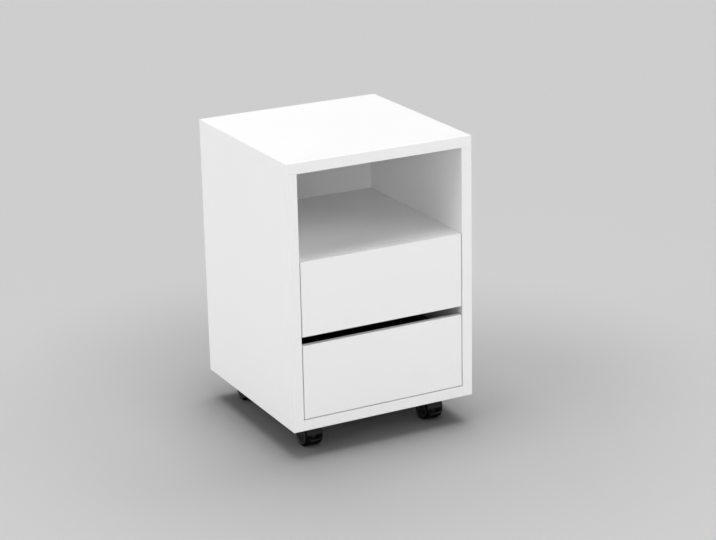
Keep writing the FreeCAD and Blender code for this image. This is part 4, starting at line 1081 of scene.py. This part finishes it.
class DressDrawers(bpy.types.Operator):
    """Face the boards of the two drawer boxes"""

    bl_idname = "cabinet.dress_drawers"
    bl_label = "Drawer Boxes"

    def execute(self, context):
        looks = context.scene.board_finish
        # The near-black box colour is partly painted shade for what shows through the finger gap
        floor = hardboard(looks.box_and_gap_shade_colour)
        for tier in TIERS:
            for piece in ("inner_front", "box_side_left", "box_side_right", "box_back"):
                node = f"{tier}_{piece}"
                facing = faced_board(f"dark_facing_{node}", looks.box_and_gap_shade_colour, looks.box_roughness, looks,
                                     node)
                coat(frame["nodes"][node], facing)
            coat(frame["nodes"][f"{tier}_drawer_floor"], floor)
        return {"FINISHED"}


class DriveScrews(bpy.types.Operator):
    """Put threaded screws with a cross recess where the plain ones are"""

    bl_idname = "cabinet.drive_screws"
    bl_label = "Screws"

    def execute(self, context):
        looks = context.scene.metal_finish
        screw = zinc("screw_zinc", looks.screw_colour, roughness=0.3)
        shaper = screw_tree()
        layout = set_out_tree()
        kinds = ("box_screws", "front_screws", "runner_screws")
        groups = ["rail_screws", "caster_screws"] + [f"{tier}_{kind}" for tier in TIERS for kind in kinds]
        for seed, node in enumerate(groups):
            drive_group(node, shaper, layout, screw, seed, looks.thread_pitch)
        return {"FINISHED"}


class BuildSlides(bpy.types.Operator):
    """Shape and plate the members of the ball slides and fill their cages with balls"""

    bl_idname = "cabinet.build_slides"
    bl_label = "Slides"

    def execute(self, context):
        looks = context.scene.metal_finish
        sheet = zinc("slide_zinc", looks.sheet_colour, looks.sheet_roughness, drawn=(1.0, 0.06, 1.0))
        cage = zinc("cage_zinc", looks.screw_colour, roughness=0.28, drawn=(1.0, 0.2, 1.0))
        polished = polished_steel(looks.ball_colour)
        punch = punched_tree()
        turner = turned_tree()
        layout = set_out_tree()
        for tier in TIERS:
            for side in SIDES:
                for member in ("rail", "runner"):
                    punch_member(f"{tier}_slide_{member}_{side}", punch, sheet, looks)
                fill_cage(f"{tier}_ball_cage_{side}", turner, layout, cage, polished)
        return {"FINISHED"}


class BuildCasters(bpy.types.Operator):
    """Shape the plates, pins, forks, axles, wheels and brake pedals of the casters"""

    bl_idname = "cabinet.build_casters"
    bl_label = "Casters"

    def execute(self, context):
        looks = context.scene.caster_finish
        metal = context.scene.metal_finish
        plate = zinc("plate_zinc", metal.sheet_colour, metal.sheet_roughness)
        turned = polished_steel(metal.screw_colour)
        fork = moulded_nylon("fork_nylon", looks.fork_colour, looks.fork_roughness,
                             grain_depth=0.012 * MM, gloss=0.4)
        # The tread's near black is partly painted shade for the slot under the hood
        tread = soft_tread(looks.tread_and_slot_shade_colour)
        wheel = moulded_nylon("wheel_nylon", looks.wheel_colour, looks.wheel_roughness,
                              grain_depth=0.004 * MM)
        wheel_maker = wheel_tree()
        soften("caster_plates", PLATE_EDGE, plate)
        soften("caster_pins", PIN_EDGE, turned)
        for corner in CORNERS:
            braked = corner.startswith("front")
            soften(f"caster_{corner}_fork", looks.fork_edge, fork)
            soften(f"caster_{corner}_{'pins' if braked else 'axle'}", AXLE_EDGE, turned)
            for side in SIDES:
                turn_wheel(f"caster_{corner}_wheel_{side}", wheel_maker, wheel, tread, looks, side)
            if braked:
                soften(f"caster_{corner}_brake_pedal", looks.fork_edge, fork)
        return {"FINISHED"}


class SetStage(bpy.types.Operator):
    """Lay the floor, hang the lights and stand the camera"""

    bl_idname = "cabinet.set_stage"
    bl_label = "Studio"

    def execute(self, context):
        studio = context.scene.studio
        floor = lay_floor(studio)
        light_sky(context, studio)
        hang_lights(context, studio, floor)
        stand_camera(context, studio)
        return {"FINISHED"}


def lay_floor(studio):
    """A wide grey floor with a faint cloudiness, darker near the cabinet as painted shade and paler away
    from it.
    """
    mesh = bpy.data.meshes.new("floor")
    corners = [(x * FLOOR_REACH, y * FLOOR_REACH, 0) for x, y in ((-1, -1), (1, -1), (1, 1), (-1, 1))]
    mesh.from_pydata(corners, [], [(0, 1, 2, 3)])
    floor = new_object("floor", mesh)
    finish = Finish("floor_paint", Specular_IOR_Level=0.0)
    away = finish.add("ShaderNodeVectorMath", {0: finish.place}, operation="LENGTH").outputs["Value"]
    cloud = finish.noise(700 * MM, 2.0)
    # Painted shade: the floor darkens towards the cabinet and fades out to its far colour within the fade
    # distance
    near = finish.tint(cloud, shade(studio.near_floor_shade_colour, 0.995), shade(studio.near_floor_shade_colour, 1.005))
    finish.colour(finish.blend(near, finish.ramp(away, 0.0, FLOOR_SHADE_FADE), studio.far_floor_colour))
    finish.roughness(finish.ramp(cloud, 0.2, 0.8, 0.85, 0.95))
    mesh.materials.append(finish.material)
    return floor


def light_sky(context, studio):
    """A pale background that the camera and glossy surfaces see, and that lights nothing else."""
    world = bpy.data.worlds.new("studio_sky")
    world.use_nodes = True
    tree = Tree(world.node_tree.nodes, world.node_tree.links)
    rays = tree.add("ShaderNodeLightPath").outputs
    seen = tree.math("MAXIMUM", rays["Is Camera Ray"], rays["Is Glossy Ray"])
    background = world.node_tree.nodes["Background"]
    background.inputs["Color"].default_value = (1, 1, 1, 1)
    tree.feed(background.inputs["Strength"], tree.math("MULTIPLY", seen, studio.sky))
    context.scene.world = world


def hang_lights(context, studio, floor):
    """Wide suns for everything, and fills for the boards that spare the floor and the casters.

    A lamp has a strength, an angle round the cabinet from the front to its left and one above the
    floor, both in degrees, and whether it is a fill.
    """
    spared = bpy.data.collections.new("lit_without_fills")
    meshes = [obj for obj in context.scene.objects if obj.type == "MESH"]
    for obj in (floor, *(obj for obj in meshes if obj.name.startswith("caster_"))):
        spared.objects.link(obj)
    for entry in spared.collection_objects:
        entry.light_linking.link_state = "EXCLUDE"
    lamps = {
        "overhead": (studio.overhead, 0, 90, False),
        "front": (studio.front, 0, 45, False),
        "left": (studio.left, 90, 45, False),
        "behind": (studio.behind, -135, 65, False),
        "camera_fill": (studio.camera_fill, 30, 8, True),
        "left_fill": (studio.left_fill, 90, 8, True),
        "side_fill": (studio.side_fill, 90, 45, True),
        "right_fill": (studio.right_fill, -45, 8, True),
        "back_fill": (studio.back_fill, 180, 5, True),
    }
    for name, (strength, leftwards, height, fill) in lamps.items():
        lamp = bpy.data.lights.new(f"{name}_sun", "SUN")
        lamp.energy = strength
        lamp.angle = studio.spread
        obj = bpy.data.objects.new(f"{name}_sun", lamp)
        turn, rise = math.radians(leftwards), math.radians(height)
        level = math.cos(rise)
        beam = Vector((math.sin(turn) * level, math.cos(turn) * level, -math.sin(rise)))
        obj.rotation_euler = beam.to_track_quat("-Z", "Y").to_euler()
        if fill:
            obj.light_linking.receiver_collection = spared
        context.scene.collection.objects.link(obj)


def stand_camera(context, studio):
    """The camera where it stood, with its small roll."""
    lens = bpy.data.cameras.new("camera")
    lens.lens = studio.focal_length
    lens.sensor_width = SENSOR_WIDTH
    lens.clip_end = VIEW_END
    camera = bpy.data.objects.new("camera", lens)
    level = math.cos(studio.elevation)
    forward = Vector((math.sin(studio.azimuth) * level, math.cos(studio.azimuth) * level,
                      -math.sin(studio.elevation)))
    right = Vector((math.cos(studio.azimuth), -math.sin(studio.azimuth), 0.0))
    right.rotate(Matrix.Rotation(studio.roll, 3, forward))
    up = right.cross(forward)
    turn = Matrix((right, up, -forward)).transposed()
    camera.matrix_world = Matrix.Translation(Vector(studio.place)) @ turn.to_4x4()
    context.scene.collection.objects.link(camera)
    context.scene.camera = camera


class CabinetPanel(bpy.types.Panel):
    """The steps and settings of the cabinet"""

    bl_idname = "VIEW3D_PT_rolling_cabinet"
    bl_label = "Rolling Drawer Cabinet"
    bl_space_type = "VIEW_3D"
    bl_region_type = "UI"
    bl_category = "Cabinet"

    def draw(self, context):
        layout = self.layout
        for step in STEPS:
            layout.operator(step.bl_idname)
        for name, group in GROUPS.items():
            box = layout.box()
            box.label(text=name.replace("_", " ").capitalize())
            for key in group.__annotations__:
                box.prop(getattr(context.scene, name), key)


GROUPS = {
    "board_finish": BoardFinish,
    "metal_finish": MetalFinish,
    "caster_finish": CasterFinish,
    "studio": Studio,
}
STEPS = (DressBoards, DressDrawers, DriveScrews, BuildSlides, BuildCasters, SetStage)


def register():
    """Register the settings, the steps and the panel."""
    for name, group in GROUPS.items():
        bpy.utils.register_class(group)
        setattr(bpy.types.Scene, name, bpy.props.PointerProperty(type=group))
    for step in STEPS:
        bpy.utils.register_class(step)
    bpy.utils.register_class(CabinetPanel)


def unregister():
    """Remove the panel, the steps and the settings."""
    bpy.utils.unregister_class(CabinetPanel)
    for step in reversed(STEPS):
        bpy.utils.unregister_class(step)
    for name, group in reversed(GROUPS.items()):
        delattr(bpy.types.Scene, name)
        bpy.utils.unregister_class(group)


def main():
    """Run every step."""
    register()
    bpy.context.scene.view_settings.view_transform = "Standard"
    for step in STEPS:
        group, name = step.bl_idname.split(".")
        getattr(getattr(bpy.ops, group), name)()


if __name__ == "__main__":
    main()
